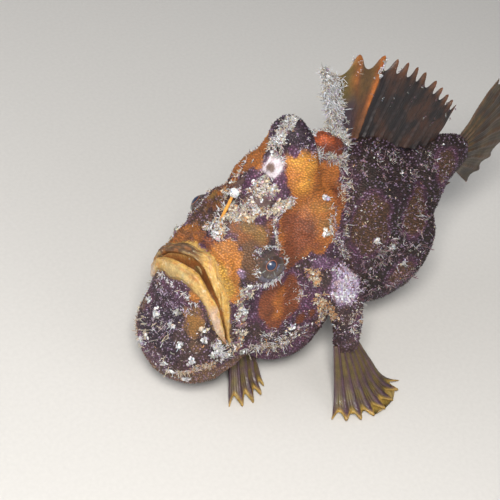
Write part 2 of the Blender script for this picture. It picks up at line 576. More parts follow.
# skin
skinLook = dict(voxel=0.46, lumpy=0.28, warty=0.1)
raised = [  # folds, rims and creases on the skin: line, half width and height, on both sides
    dict(line=[
        (31.8, 13.8, 20.9), (29.9, 15.3, 18.6), (29.7, 16.7, 15), (32, 17.4, 9.6)], wide=0.7, high=0.8),
    dict(line=[
        (33.8, 13.2, 20.6), (31.9, 15.4, 17.6), (31.6, 16.5, 13.6), (34.2, 17, 8)], wide=0.6, high=0.6),
    dict(line=[
        (7.2, 1.5, 17.1), (11.3, 0.5, 20.4), (13.4, 4.4, 20.2), (17.4, 6.7, 19.8), (21.7, 7.2, 21)],
        wide=0.9, high=0.8),
    dict(line=[
        (23.6, 2.4, 30.1), (21.9, 4.1, 27.9), (21.6, 5.8, 24.8), (20.9, 6.4, 22.6)], wide=0.7, high=0.6),
    dict(line=[
        (38.3, 0.5, 28.4), (40.2, 4.9, 24), (36.5, 9.6, 21.6), (33.5, 12.6, 21)], wide=0.8, high=0.7),
    dict(line=[(7.8, 12.2, 4), (7, 12.5, 0.1), (6.4, 12.9, -6.3), (5.6, 13, -12)], wide=1.1, high=0.7),
    dict(line=[(4.8, 0, 14.2), (5, 2.6, 13.8), (5.4, 6, 12.2), (4.8, 8.6, 9)], wide=1.1, high=1.0),
    dict(line=[(4, 3.1, 11.9), (2.8, 4.8, 10), (1.6, 7, 7.8)], wide=0.35, high=0.45),
    dict(line=[(3.4, 2, 11.6), (2.4, 4, 10), (1.2, 6.2, 8)], wide=0.3, high=0.35),
    dict(line=[(15.5, 8.7, 17.5), (15.6, 10.1, 16.1), (15.6, 11, 14.8)], wide=0.7, high=0.5),
    dict(line=[(7.7, 11.7, 5.4), (11.4, 12.5, 5.1), (16, 13, 4.6), (18.6, 12.8, 5.8)], wide=0.8, high=0.6),
]
pores = [
    (18.3, 8.9, 17.3), (20.4, 10.3, 16.3), (22.3, 11.7, 15.8), (23.9, 13, 15.5), (26, 14.4, 14.8),
    (4.4, 8.7, 8.4), (5, 7.6, 10.3), (4.7, 4.8, 12.6), (4.8, 2.5, 13.2), (6.6, 1.2, 16.2), (8, 10.8, 4),
    (8.6, 11.4, 1), (38, 15.6, 12), (44, 15.4, 12), (51, 15.6, 10), (58, 14, 8), (65, 11.5, 7),
]
gills = [(42.6, 15.6, -10)]


def lineDistance(p, line):
    best = np.full(len(p), 99.0)
    line = curveThrough(line)(np.linspace(0, 1, 24))
    for a, b in zip(line[:-1], line[1:]):
        t = np.clip(((p - a) @ (b - a)) / max((b - a) @ (b - a), 1e-9), 0, 1)
        best = np.minimum(best, np.linalg.norm(p - a - t[:, None] * (b - a), axis=1))
    return best


def roundLimb(bm, limb):  # a sphere drawn out along the limb, to give the remesh its shape
    ball = bmesh.ops.create_uvsphere(bm, u_segments=24, v_segments=28, radius=1)["verts"]
    line = curveThrough(limb["line"])
    for vert in ball:
        t = math.acos(max(-1, min(1, -vert.co.z))) / math.pi
        along = unit(line(min(t + 0.02, 1)) - line(max(t - 0.02, 0)))
        wide = unit(np.cross(along, (0.2, 1, 0.1)))
        thick = np.cross(wide, along)
        r = np.interp(t, np.linspace(0, 1, len(limb["radius"])), limb["radius"])
        r *= min(1, 2.2 * math.sin(math.pi * t)) / max(math.hypot(vert.co.x, vert.co.y), 1e-6)
        vert.co = line(t) + (wide * vert.co.x + thick * vert.co.y) * r * limb["scale"] * 0.98


def buildSkin():
    bm = bmesh.new()
    bmesh.ops.create_icosphere(bm, subdivisions=6, radius=1)
    way = np.array([v.co for v in bm.verts])
    front, back = np.array([15.0, 0, -3]), np.array([80.0, 0, 2])
    axis = unit(back - front)
    start = (front + back) / 2 + np.outer(way @ axis, (back - front) / 2)
    for vert, p in zip(bm.verts, skinAlong(start, way)):
        vert.co = p
    for limb in limbs.values():
        roundLimb(bm, limb)
    piece = addObject("skin", meshFrom(bm, "skin"))
    remesh = piece.modifiers.new("weld", "REMESH")
    remesh.mode = "VOXEL"
    remesh.voxel_size = skinLook["voxel"]
    mesh = bakedMesh(piece)
    p = readCoords(mesh)
    for _ in range(3):  # slide every vertex onto the field
        f = bodyField(p)
        g = slope(p, bodyField)
        p = p - np.clip(f / np.maximum((g * g).sum(1), 0.3), -1, 1)[:, None] * g
    writeCoords(mesh, p)
    return piece, p


def shapeSkin(piece, p):
    mesh = piece.data
    n = readNormals(mesh)
    q = np.c_[p[:, 0], np.abs(p[:, 1]), p[:, 2]]
    height = skinLook["lumpy"] * lumps(p, 3.4, 11) + skinLook["warty"] * lumps(p, 1.3, 12)
    near = np.min([np.linalg.norm(p - one["centre"], axis=1) for one in eyes.values()], axis=0)
    height *= ramp(near, 3, 6)
    for fold in raised:
        d = lineDistance(q, fold["line"])
        height += fold["high"] * np.exp(-((d / fold["wide"]) ** 2)) * (1 + 0.35 * lumps(p, 1.1, 13))
    for pore in pores:
        d = np.linalg.norm(q - pore, axis=1)
        height += 0.32 * np.exp(-(((d - 0.85) / 0.38) ** 2)) - 0.3 * np.exp(-((d / 0.45) ** 2))
    for gill in gills:
        d = np.linalg.norm(q - gill, axis=1)
        height += 0.9 * np.exp(-(((d - 1.6) / 0.6) ** 2)) - 2.2 * np.exp(-((d / 0.9) ** 2))
    across, up, angle = mouthPlace(p)
    arch = ramp(np.abs(angle), 96, 90) * ramp(-fleshField(p), 3, 1.5) * ramp(p[:, 0], 14, 11)
    low, high = edge("lowerInner", angle), edge("upperInner", angle)
    half = (low - high) / 2
    slit = arch * ramp(np.abs(across - (low + high) / 2), half + 0.5, half - 0.35)
    inward = unit(np.c_[np.zeros(len(p)), -p[:, 1], np.zeros(len(p))] - np.outer(np.maximum(up, 0), gapeUp))
    deep = gape["deep"] * mix(0.35, 1, ramp(half, 0.25, 0.8)) * slit
    moved = p + n * (height * (1 - slit))[:, None] + inward * deep[:, None]
    colour, grain, free = paint(p)
    lipBand = ramp(across, edge("lowerOuter", angle) + 0.5, edge("lowerOuter", angle))
    top = np.minimum(edge("strapOuter", angle), np.where(np.abs(angle) < 40, edge("upperOuter", angle), 9))
    lipBand *= ramp(across, top - 0.9, top - 0.3)
    wet = arch * lipBand
    colour = blend(colour, hues["lip"] * 0.8, wet)
    colour = mix(colour, hues["lining"], ramp(slit, 0.02, 0.25)[:, None])
    colour *= mix(1, 0.5, ramp(slit, 0.6, 1))[:, None]
    grain = grain * (1 - np.maximum(wet, slit)) * ramp(near, 3.5, 4.6)
    colour = blend(colour, hues["eyeSkin"], ramp(near, 4.9, 3.9) * 0.85)
    eyeDown = unit(np.array([-0.2, 0.79, -0.65]))
    for one in eyes.values():
        d = p - one["lid"]
        lidSpot = ramp(unit(d * (1, one["side"], 1)) @ eyeDown, 0.1, 0.6)
        lidSpot *= ramp(np.linalg.norm(d, axis=1), 4.6, 4) * ramp(np.linalg.norm(d, axis=1), 2.7, 3)
        colour = blend(colour, hues["lid"], lidSpot * 0.9)
    writeCoords(mesh, moved)
    setTint(mesh, colour * (1 - mix(0.5, 0.58, free) * grain)[:, None])
    setValue(mesh, "grain", grain)
    setValue(mesh, "free", free)
    smoothFaces(mesh)
    return moved


skin, skinPoints = buildSkin()
skinPoints = shapeSkin(skin, skinPoints)
skinNormals = readNormals(skin.data)
skinTree = BVHTree.FromPolygons([Vector(c) for c in skinPoints],
                                [tuple(f.vertices) for f in skin.data.polygons])
print("skin:", len(skin.data.polygons), "faces")


# granules: the small hard grains of the skin
granule = dict(tries=270000, apart=0.47, radius=0.33, high=0.36, sides=6, leastGrain=0.35)


def scatterOnSkin(count, seed):
    pick = np.random.default_rng(seed)
    mesh = skin.data
    mesh.calc_loop_triangles()
    tris = np.zeros(len(mesh.loop_triangles) * 3, np.int32)
    mesh.loop_triangles.foreach_get("vertices", tris)
    tris = tris.reshape(-1, 3)
    a, b, c = (skinPoints[tris[:, k]] for k in range(3))
    area = np.linalg.norm(np.cross(b - a, c - a), axis=1)
    chosen = pick.choice(len(tris), count, p=area / area.sum())
    r1, r2 = np.sqrt(pick.random(count)), pick.random(count)
    weights = np.c_[1 - r1, r1 * (1 - r2), r1 * r2]
    points = np.einsum("nk,nkd->nd", weights, skinPoints[tris[chosen]])
    normals = unit(np.einsum("nk,nkd->nd", weights, skinNormals[tris[chosen]]))
    return points, normals, tris[chosen][:, 0]


def thinned(points, apart):  # keeps points that stand at least this far from each other
    cells, keep = {}, []
    keys = np.floor(points / apart).astype(int)
    around = [(i, j, k) for i in (-1, 0, 1) for j in (-1, 0, 1) for k in (-1, 0, 1)]
    for i, key in enumerate(map(tuple, keys)):
        p = points[i]
        clash = False
        for dx, dy, dz in around:
            for j in cells.get((key[0] + dx, key[1] + dy, key[2] + dz), ()):
                q = points[j]
                if (p[0] - q[0]) ** 2 + (p[1] - q[1]) ** 2 + (p[2] - q[2]) ** 2 < apart * apart:
                    clash = True
                    break
            if clash:
                break
        if not clash:
            cells.setdefault(key, []).append(i)
            keep.append(i)
    return np.array(keep)


def arrayMesh(name, verts, faces, colours, uv):
    mesh = bpy.data.meshes.new(name)
    mesh.vertices.add(len(verts))
    mesh.loops.add(faces.size)
    mesh.polygons.add(len(faces))
    mesh.vertices.foreach_set("co", toWorld(verts).astype(np.float32).ravel())
    mesh.loops.foreach_set("vertex_index", faces.astype(np.int32).ravel())
    mesh.polygons.foreach_set("loop_start", np.arange(0, faces.size, faces.shape[1], dtype=np.int32))
    mesh.update(calc_edges=True)
    setTint(mesh, colours)
    layer = mesh.uv_layers.new(name="OFBake")
    layer.data.foreach_set("uv", uv[faces.ravel()].astype(np.float32).ravel())
    smoothFaces(mesh)
    return addObject(name, mesh)


def unwrap(p):  # round the body's axis and along it
    turnRound = np.arctan2(p[:, 1], p[:, 2] + 2) / (2 * math.pi) + 0.5
    return np.c_[0.03 + 0.94 * turnRound, 0.03 + 0.94 * np.clip((p[:, 0] + 14) / 130, 0, 1)]


def anyAcross(n, seed):
    helper = np.random.default_rng(seed).normal(size=n.shape)
    a = unit(np.cross(n, helper))
    return a, np.cross(n, a)


def buildGranules():
    points, normals, vert = scatterOnSkin(granule["tries"], 21)
    grain = readValue(skin.data, "grain")[vert]
    keep = grain > granule["leastGrain"]
    points, normals, grain = points[keep], normals[keep], grain[keep]
    keep = thinned(points, granule["apart"])
    points, normals, grain = points[keep], normals[keep], grain[keep]
    colour, _, free = paint(points)
    dice = np.random.default_rng(24)
    shine = mix(dice.uniform(0.86, 1.14, len(points)), dice.lognormal(-0.05, 0.4, len(points)), free)
    paler = (dice.random(len(points)) < 0.2) * free * dice.uniform(0.3, 1, len(points))
    size = granule["radius"] * (1 + 0.18 * lumps(points, 2.2, 31))
    across, other = anyAcross(normals, 22)
    turns = np.arange(granule["sides"]) * 2 * math.pi / granule["sides"]
    ring = across[:, None] * np.cos(turns)[None, :, None] + other[:, None] * np.sin(turns)[None, :, None]
    level = unit(np.cross(normals, (0.35, 0.2, 1)))[:, None]
    ring = ring + level * (ring * level).sum(2, keepdims=True) * (0.35 * (1 - free))[:, None, None]
    base = points[:, None] + ring * size[:, None, None] - normals[:, None] * 0.05
    lean = np.random.default_rng(23).normal(size=points.shape) * 0.06 + np.array([0.08, 0, -0.04])
    tip = points + normals * (granule["high"] * grain * (1 + 0.3 * lumps(points, 0.9, 32)))[:, None] + lean
    sides = granule["sides"]
    verts = np.concatenate([base, tip[:, None]], 1)
    local = np.array([(k, (k + 1) % sides, sides) for k in range(sides)])
    pale = blend(colour * (shine * mix(1.1, 1.34, free))[:, None], hues["lilac"] * 1.15, paler * 0.85)
    foot = colour * mix(np.array([0.44, 0.33, 0.29]), np.array([0.34, 0.27, 0.31]), free[:, None])
    tint = np.concatenate([np.repeat(foot[:, None], sides, 1), pale[:, None]], 1)
    spread = np.concatenate([np.c_[np.cos(turns), np.sin(turns)], [[0, 0]]]) * 0.0015
    uv = unwrap(points)[:, None] + spread[None]
    pieces = []
    order = np.argsort(points[:, 0])
    for i, part in enumerate(np.array_split(order, 2)):
        faces = (local[None] + np.arange(len(part))[:, None, None] * (sides + 1)).reshape(-1, 3)
        pieces.append(arrayMesh(f"granules{i + 1}", verts[part].reshape(-1, 3), faces,
                                tint[part].reshape(-1, 3), uv[part].reshape(-1, 2)))
    print("granules:", len(points))
    return pieces


granules = buildGranules()


# lips
lips = dict(
    lowerLip=dict(inner="lowerInner", outer="lowerOuter", reach=(-94, 94), thick=1.0, node="lower_lip"),
    upperLip=dict(inner="upperInner", outer="upperOuter", reach=(-43, 43), thick=1.0, node="upper_lip"),
    jawStrapLeft=dict(inner="strapInner", outer="strapOuter", reach=(-95, -19), thick=0.9),
    jawStrapRight=dict(inner="strapInner", outer="strapOuter", reach=(19, 95), thick=0.9),
)


def buildLip(name, lip):
    def shape(u, v):
        angle = mix(*lip["reach"], v)
        turnUp = np.radians(angle)
        out = np.outer(np.cos(turnUp), gapeUp)
        out[:, 1] += np.sin(turnUp)
        inner, outer = edge(lip["inner"], angle), edge(lip["outer"], angle)
        taper = np.minimum(1, np.minimum(v, 1 - v) * 14 + 0.12) ** 0.6
        wide, high = np.cos(2 * math.pi * u), np.sin(2 * math.pi * u)
        wide = np.sign(wide) * np.abs(wide) ** 0.75
        ripple = 0.15 * lumps(np.c_[angle / 9, u * 2, v * 0], 1, 46)
        ripple = ripple + 0.08 * lumps(np.c_[angle / 2.5, u * 3, v * 0], 1, 50)
        across = (inner + outer) / 2 + (outer - inner) / 2 * wide * taper + ripple
        base = skinAlong(gapeCorner + np.outer(across, gapeFront), out)
        normal = unit(slope(base, fleshField))
        rim, dip = np.exp(-(((wide + 0.45) / 0.22) ** 2)), np.exp(-(((wide - 0.1) / 0.16) ** 2))
        crown = np.abs(high) ** 0.7 + 0.16 * rim - 0.12 * dip
        wrinkle = 0.09 * lumps(np.c_[angle / 3, wide * 3, high * 0], 1, 49)
        top = lip["thick"] * (crown * (1 + 0.22 * lumps(base, 2.6, 43) + 0.1 * lumps(base, 0.8, 44))
                              + wrinkle)
        lift = np.where(high >= 0, top * taper, -0.7 * np.abs(high))
        return base + normal * lift[:, None]

    piece = sheet(name, 36, 240, shape, closed=True)
    p = readCoords(piece.data)
    across, _, angle = mouthPlace(p)
    inner, outer = edge(lip["inner"], angle), edge(lip["outer"], angle)
    over = np.clip((across - inner) / np.where(np.abs(outer - inner) < 0.05, 0.05, outer - inner), 0, 1)
    depth = fleshField(p)
    colour = blend(hues["lip"], hues["tan"], ramp(lumps(p, 3, 44), -0.1, 0.6) * 0.6)
    colour = blend(colour, hues["yellow"], np.exp(-(((over - 0.4) / 0.25) ** 2)) * 0.45)
    if name == "lowerLip":
        pale = ramp(np.abs(angle), 34, 44) * ramp(np.abs(angle), 84, 60)
        pale = pale * ramp(over + lumps(p, 1.6, 51) * 0.4, 0.2, 0.7)
        colour = blend(colour, linear((204, 180, 166)), pale * 0.85)
        green = ramp(np.abs(angle), 24, 10) * ramp(over, 0.3, 0.6)
        colour = blend(colour, linear((174, 154, 104)), green * 0.6)
        colour = blend(colour, hues["purple"] * 1.6, ramp(np.abs(angle), 66, 88) * 0.6)
        crease = np.exp(-(((over - 0.56 - 0.05 * lumps(p, 2, 55)) / 0.06) ** 2)) * ramp(np.abs(angle), 48, 34)
        colour = blend(colour, hues["amber"] * 0.7, crease * 0.55)
    else:
        front = ramp(angle, -9, 1) * ramp(angle, 60, 36)
        colour = blend(colour, hues["darkBrown"] * 0.8, front * 0.95)
    colour = blend(colour, hues["olive"], ramp(lumps(p, 1.8, 47), 0.2, 0.7) * 0.3)
    streak = lumps(np.c_[angle / 7, over * 9, across * 0], 1, 48)
    colour = blend(colour, linear((218, 194, 134)), ramp(streak, 0.1, 0.8) * 0.4)
    colour = blend(colour, hues["amber"], ramp(streak, -0.2, -0.8) * 0.4)
    fleck = lumps(p, 0.55, 53) + 0.6 * lumps(p, 1.4, 54)
    colour = blend(colour, linear((232, 222, 190)), ramp(fleck, 0.55, 0.95) * 0.5)
    colour = blend(colour, hues["brown"], ramp(fleck, -0.5, -1) * 0.45)
    colour = blend(colour, hues["lining"], ramp(over, 0.16, 0) * ramp(depth, 0.9, 0.1) * 0.7)
    colour = blend(colour, hues["brown"], ramp(depth, 0.3, -0.2) * 0.5)
    setTint(piece.data, colour * (1 + 0.1 * lumps(p, 0.8, 45))[:, None])
    return piece


lipPieces = {name: buildLip(name, lip) for name, lip in lips.items()}
print("lips done")


# eyes
def buildEye(name, one):
    bm = bmesh.new()
    bmesh.ops.create_uvsphere(bm, u_segments=96, v_segments=64, radius=eye["radius"])
    mesh = meshFrom(bm, f"eyeball{name.capitalize()}")
    local = readCoords(mesh)
    r = np.hypot(local[:, 0], local[:, 1])
    front = local[:, 2] > 0
    bulge = np.where(front, 0.3 * np.exp(-((r / 1.5) ** 2)), 0)
    gazeLeft = unit(np.array(eye["gaze"]) * (1, -1, 1))
    wide = unit(np.cross((0, 0, 1), gazeLeft))
    frameAxes = np.array([wide, np.cross(gazeLeft, wide), gazeLeft])
    p = (local + np.c_[np.zeros((len(local), 2)), bulge]) @ frameAxes
    writeCoords(mesh, p * (1, -one["side"], 1) + one["centre"])
    if one["side"] > 0:
        mesh.flip_normals()
    smoothFaces(mesh)
    layer = mesh.uv_layers.new(name="gaze")  # the eye's own flat coordinates, for its pupil and rays
    loops = np.zeros(len(mesh.loops), np.int32)
    mesh.loops.foreach_get("vertex_index", loops)
    flat = local[:, :2].copy()
    behind = 2 * eye["radius"] - r[~front]
    flat[~front] = flat[~front] / np.maximum(r[~front], 1e-6)[:, None] * behind[:, None]
    layer.data.foreach_set("uv", flat[loops].astype(np.float32).ravel())
    return addObject(f"eyeball{name.capitalize()}", mesh)


def eyeMaterial():
    material, tree, bsdf = newMaterial("eyeball")
    gaze = addNode(tree, "UVMap", {}, uv_map="gaze").outputs["UV"]
    turned = {"Rotation": (0, 0, math.radians(eye["pupilTurn"])), "Vector": gaze}
    place = addNode(tree, "Mapping", turned).outputs["Vector"]
    oval = {"Scale": (1 / eye["pupil"][0], 1 / eye["pupil"][1], 1), "Vector": place}
    oval = addNode(tree, "Mapping", oval).outputs["Vector"]
    length = addNode(tree, "VectorMath", {0: oval}, operation="LENGTH").outputs["Value"]
    rings = addNode(tree, "ValToRGB", {"Fac": addMath(tree, "MULTIPLY", length, 0.3)})
    stops = [(0.0, (30, 44, 70)), (0.16, (36, 52, 84)), (0.26, (24, 34, 56)), (0.3, (14, 16, 24)),
             (0.312, (176, 104, 84)), (0.326, (168, 104, 76)), (0.345, (70, 48, 40)), (0.5, (60, 46, 42)),
             (0.75, (76, 64, 58)), (1.0, (70, 58, 52))]
    points = rings.color_ramp.elements
    while len(points) < len(stops):
        points.new(0.5)
    for point, (where, rgb) in zip(points, stops):
        point.position = where
        point.color = (*linear(rgb), 1)
    # rays: pale lines that run out from the pupil
    parts = addNode(tree, "SeparateXYZ", {"Vector": place}).outputs
    angle = addMath(tree, "ARCTAN2", parts["Y"], parts["X"])
    spread = {"X": addMath(tree, "MULTIPLY", angle, 9 / math.pi),
              "Y": addMath(tree, "MULTIPLY", length, 0.25)}
    spread = addNode(tree, "CombineXYZ", spread).outputs["Vector"]
    wave = addNoise(tree, spread, 1.0, noise_dimensions="2D").outputs["Fac"]
    rayWave = addMath(tree, "SINE", addMath(tree, "MULTIPLY", angle, 10))
    rays = addRange(tree, addMath(tree, "ADD", rayWave, wave), 1.42, 1.66, 0, 0.7)
    ringOnly = addRange(tree, length, 1.3, 1.5)
    clouds = addNoise(tree, gaze, 0.9)
    feed(clouds, {"Detail": 3})
    blueZone = addRange(tree, clouds.outputs["Fac"], 0.55, 0.66, 0, 0.75)
    blueMask = addMath(tree, "MULTIPLY", blueZone, ringOnly)
    blue = addTint(tree, blueMask, rings.outputs["Color"], (106, 112, 142))
    colour = addTint(tree, addMath(tree, "MULTIPLY", rays, ringOnly), blue, (150, 164, 160))
    feed(bsdf, {"Base Color": colour, "Roughness": 0.4, "Coat Weight": 0.6, "Coat Roughness": 0.09})
    return material


eyePieces = {name: buildEye(name, one) for name, one in eyes.items()}
eyeballs = eyeMaterial()
for name, piece in eyePieces.items():
    finish(piece, eyeballs, "eye", f"eye_{name}")
print("eyes done")


# fins
def swung(x, y, z):
    return (x, y + float(swingAt(np.array(x))), z)


chinMiddle, chinRadii = flesh["masses"][0]
chinClear = 2.2  # from the floor up to the chin
tipUp = 0.45  # from the floor up to the middle of a fin's tip
floorAtChin = chinMiddle[2] - chinRadii[2] - chinClear


def floorAt(x):
    return floorAtChin - (x - chinMiddle[0]) * math.tan(tilt)


def hand(side):
    def root(u):
        return np.c_[mix(31.5, 38.5, u), side * (mix(22.5, 23, u) + np.sin(u * math.pi) * 1.5),
                     np.full(len(u), -19.5)]

    def tip(u):
        angle = np.radians(mix(-52, 48, u))
        x = 36 + 16 * np.sin(angle)
        return np.c_[x, side * (24 + 14.5 * np.cos(angle)), floorAt(x) + tipUp]

    def bow(u, v):
        arch = np.sin(v * math.pi)
        return np.c_[np.zeros(len(u)), side * 1.5 * arch, -3.6 * arch]

    return dict(rays=8, root=root, tip=tip, bow=bow, membrane=0.5, ray=(0.85, 0.5), notch=0.24)


def prop(side):
    def root(u):
        return np.c_[mix(12, 19, u), np.full(len(u), side * 6.5), np.full(len(u), -21)]

    def tip(u):
        x = mix(5, 17, u)
        return np.c_[x, side * mix(15.5, 18, np.sin(u * math.pi)), floorAt(x) + tipUp]

    def bow(u, v):
        return np.c_[np.zeros((len(u), 2)), -2.2 * np.sin(v * math.pi)]

    return dict(rays=5, root=root, tip=tip, bow=bow, membrane=0.6, ray=(1.2, 0.6), notch=0.24)


dorsalEdge = curveThrough([swung(39.5, 5, 44.5), swung(51.5, 5, 43.4), swung(63, 3, 39), swung(74, 0, 32),
                           swung(85, -4, 20)])
dorsalRays = [0, 0.253, 0.44, 0.52, 0.6, 0.68, 0.75, 0.82, 0.87, 0.92, 0.96, 1]  # along that edge


def dorsalTip(u):
    return dorsalEdge(np.interp(u, np.linspace(0, 1, len(dorsalRays)), dorsalRays))


fins = dict(
    dorsalFin=dict(rays=len(dorsalRays), tip=dorsalTip, membrane=0.5, ray=(1.05, 0.5), notch=0.16, rows=90,
                   root=curveThrough([(45, 0, 20), (54, 0, 19.5), (66, 0, 14), (78, 0, 8)])),
    tailFin=dict(rays=9, root=curveThrough([(89, 0, 7.5), (91, 0, 3), (89, 0, -1.5)]),
                 tip=curveThrough([(99, 0, 23.5), (110, 0, 17), (113, 0, 3), (109, 0, -8), (100, 0, -13)]),
                 membrane=0.5, ray=(0.85, 0.45), notch=0.1, rows=80),
    analFin=dict(rays=7, root=curveThrough([(65, 0, -15), (72, 0, -9), (80, 0, -2)]),
                 tip=curveThrough([(73, 0, -25.5), (84, 0, -22), (92, 0, -9)]),
                 membrane=0.5, ray=(0.95, 0.5), notch=0.14, rows=60),
    handLeft=dict(hand(-1), rows=60), handRight=dict(hand(1), rows=60),
    propLeft=dict(prop(-1), rows=44), propRight=dict(prop(1), rows=44),
)


def finMiddle(fin, u, v):  # the fin's middle surface, from root to tip
    place = u * (fin["rays"] - 1)
    off = place - np.round(place)
    reach = v * (1 - fin["notch"] * (1 - np.exp(-((off / 0.24) ** 2))) * ramp(v, 0, 1))
    p = mix(fin["root"](u), fin["tip"](u), reach[:, None])
    if "bow" in fin:
        p = p + fin["bow"](u, reach)
    return p


def finNormal(fin, u, v):
    across = finMiddle(fin, np.clip(u + 0.01, 0, 1), v) - finMiddle(fin, np.clip(u - 0.01, 0, 1), v)
    along = finMiddle(fin, u, np.clip(v + 0.03, 0, 1)) - finMiddle(fin, u, np.clip(v - 0.03, 0, 1))
    return unit(np.cross(across, along))


def buildFin(name, fin):
    columns = (fin["rays"] - 1) * 14

    def shape(s, v):
        u = np.where(s < 0.5, 2 * s, 2 - 2 * s)
        face = np.sin(2 * math.pi * s)
        face = np.sign(face) * np.minimum(1, np.abs(face) * 8) ** 0.5
        place = u * (fin["rays"] - 1)
        crest = np.exp(-(((place - np.round(place)) / 0.15) ** 2))
        vein = 0.12 * np.abs(np.sin(place * math.pi * 4)) * (1 - crest)
        joints = 1 + 0.06 * np.sin(v * 70)
        half = mix(fin["membrane"] / 2 + vein, mix(fin["ray"][0], fin["ray"][1], v) * joints, crest)
        half = half * mix(1, 0.5, ramp(v, 0.93, 1)) * np.where(v > 0.999, 0.3, 1)
        middle = finMiddle(fin, u, v)
        normal = finNormal(fin, u, v)
        wave = 0.5 * lumps(middle, 4.5, 51) * ramp(v, 0.1, 0.5)
        return middle + normal * (face * half + wave)[:, None]

    return sheet(name, 2 * columns, fin["rows"], shape, closed=True)


finHues = dict(
    olive=(96, 80, 36), darkOlive=(70, 58, 36), brownOrange=(88, 54, 30), bright=(176, 100, 38),
    dark=(24, 19, 22), rayBrown=(42, 30, 28), blotch=(66, 40, 28), mauve=(60, 44, 54),
    tipOrange=(118, 72, 38), white=(196, 188, 188), purple=(76, 50, 70), yellow=(176, 142, 66),
)
finHues = {name: linear(rgb) for name, rgb in finHues.items()}


def tintFin(piece, name, fin):
    mesh = piece.data
    p, s, v = readCoords(mesh), readValue(mesh, "u"), readValue(mesh, "v")
    u = np.where(s < 0.5, 2 * s, 2 - 2 * s)
    place = u * (fin["rays"] - 1)
    crest = np.exp(-(((place - np.round(place)) / 0.2) ** 2))[:, None]
    bands = ramp(np.sin(v * 17 + lumps(p, 5, 61) * 2 + place * 0.5), -0.2, 0.6)[:, None]
    cloud = ramp(lumps(p, 5, 65) + 0.5 * lumps(p, 2, 66), -0.1, 0.6)[:, None]
    colour = mix(finHues["dark"], finHues["blotch"], cloud * 0.85)
    colour = mix(colour, finHues["rayBrown"], crest * 0.5)
    colour = mix(colour, finHues["tipOrange"], crest * ramp(v, 0.75, 1)[:, None] * 0.75)
    if name == "dorsalFin":
        high = ramp(v + lumps(p, 4, 62) * 0.12, 0.5, 0.8)[:, None]
        front = mix(finHues["mauve"], finHues["olive"], high)
        middle = mix(finHues["brownOrange"], finHues["olive"], high * 0.4)
        middle = mix(middle, finHues["mauve"], (ramp(place, 1.7, 1.2) * ramp(v, 0.62, 0.3))[:, None] * 0.9)
        near = mix(front, middle, ramp(place, 0.9, 1.1)[:, None])
        near = blend(near, finHues["bright"], np.exp(-(((place - 1) / 0.16) ** 2)) * ramp(v, 0.55, 0.8) * 0.7)
        colour = mix(colour, near * (1 + 0.18 * lumps(p, 1.1, 67))[:, None], ramp(place, 2.35, 2.05)[:, None])
        colour = blend(colour, finHues["bright"], np.exp(-(((place - 2) / 0.15) ** 2)) * ramp(v, 0.2, 0.6))
        colour = blend(colour, finHues["white"], ramp(place, 0.5, 0.1) * 0.75)
    elif name == "tailFin":
        colour = mix(mix(finHues["darkOlive"], finHues["rayBrown"], bands * 0.6), finHues["tipOrange"],
                     crest * 0.25)
        colour = mix(colour, finHues["dark"], cloud * 0.4)
    elif name.startswith("hand") or name.startswith("prop"):
        colour = mix(mix(finHues["olive"], finHues["purple"], bands * 0.4), finHues["purple"], crest * 0.85)
        colour = mix(colour, finHues["yellow"], ramp(v, 0.8, 0.98)[:, None] * 0.8)
    else:
        colour = mix(colour, finHues["brownOrange"], bands * 0.4)
    colour = colour * (1 + 0.15 * lumps(p, 1.2, 63) + 0.12 * lumps(p, 4, 64))[:, None]
    setTint(mesh, colour)


finPieces = {}
for name, fin in fins.items():
    finPieces[name] = buildFin(name, fin)
    tintFin(finPieces[name], name, fin)
print("fins done")


# rod and lure
rod = dict(line=[(7, 0, 13.5), (8.2, 0, 18), (11, 0, 24.6)], thick=(0.75, 0.42, 0.34))


def buildRod():
    line = curveThrough(rod["line"])

    def shape(u, v):
        along = unit(line(np.minimum(v + 0.02, 1)) - line(np.maximum(v - 0.02, 0)))
        side = np.repeat([[0.0, 1.0, 0.0]], len(v), 0)
        other = np.cross(along, side)
        r = np.interp(v, (0, 0.5, 1), rod["thick"]) * (1 + 0.05 * np.sin(v * 60))
        turnRound = 2 * math.pi * u
        return line(v) + (side * np.cos(turnRound)[:, None] + other * np.sin(turnRound)[:, None]) * r[:, None]

    piece = sheet("rod", 20, 60, shape, closed=True)
    v = readValue(piece.data, "v")
    p = readCoords(piece.data)
    colour = blend(linear((196, 128, 52)), linear((226, 160, 70)), v)
    setTint(piece.data, colour * (1 + 0.12 * lumps(p, 0.9, 71))[:, None])
    return piece


def buildLure():
    bm = bmesh.new()
    bmesh.ops.create_icosphere(bm, subdivisions=5, radius=1)
    mesh = meshFrom(bm, "lureBall")
    way = readCoords(mesh)
    knobs = 0.16 * lumps(way * 1.2, 0.35, 72) + 0.1 * lumps(way * 1.2, 0.16, 73)
    writeCoords(mesh, way * (1.02 + knobs)[:, None] + np.array(pose["lureAt"]))
    smoothFaces(mesh)
    setTint(mesh, mix(linear((236, 236, 240)), linear((190, 186, 196)), ramp(knobs, 0.05, -0.15)[:, None]))
    return addObject("lureBall", mesh)


rodPiece, lurePiece = buildRod(), buildLure()


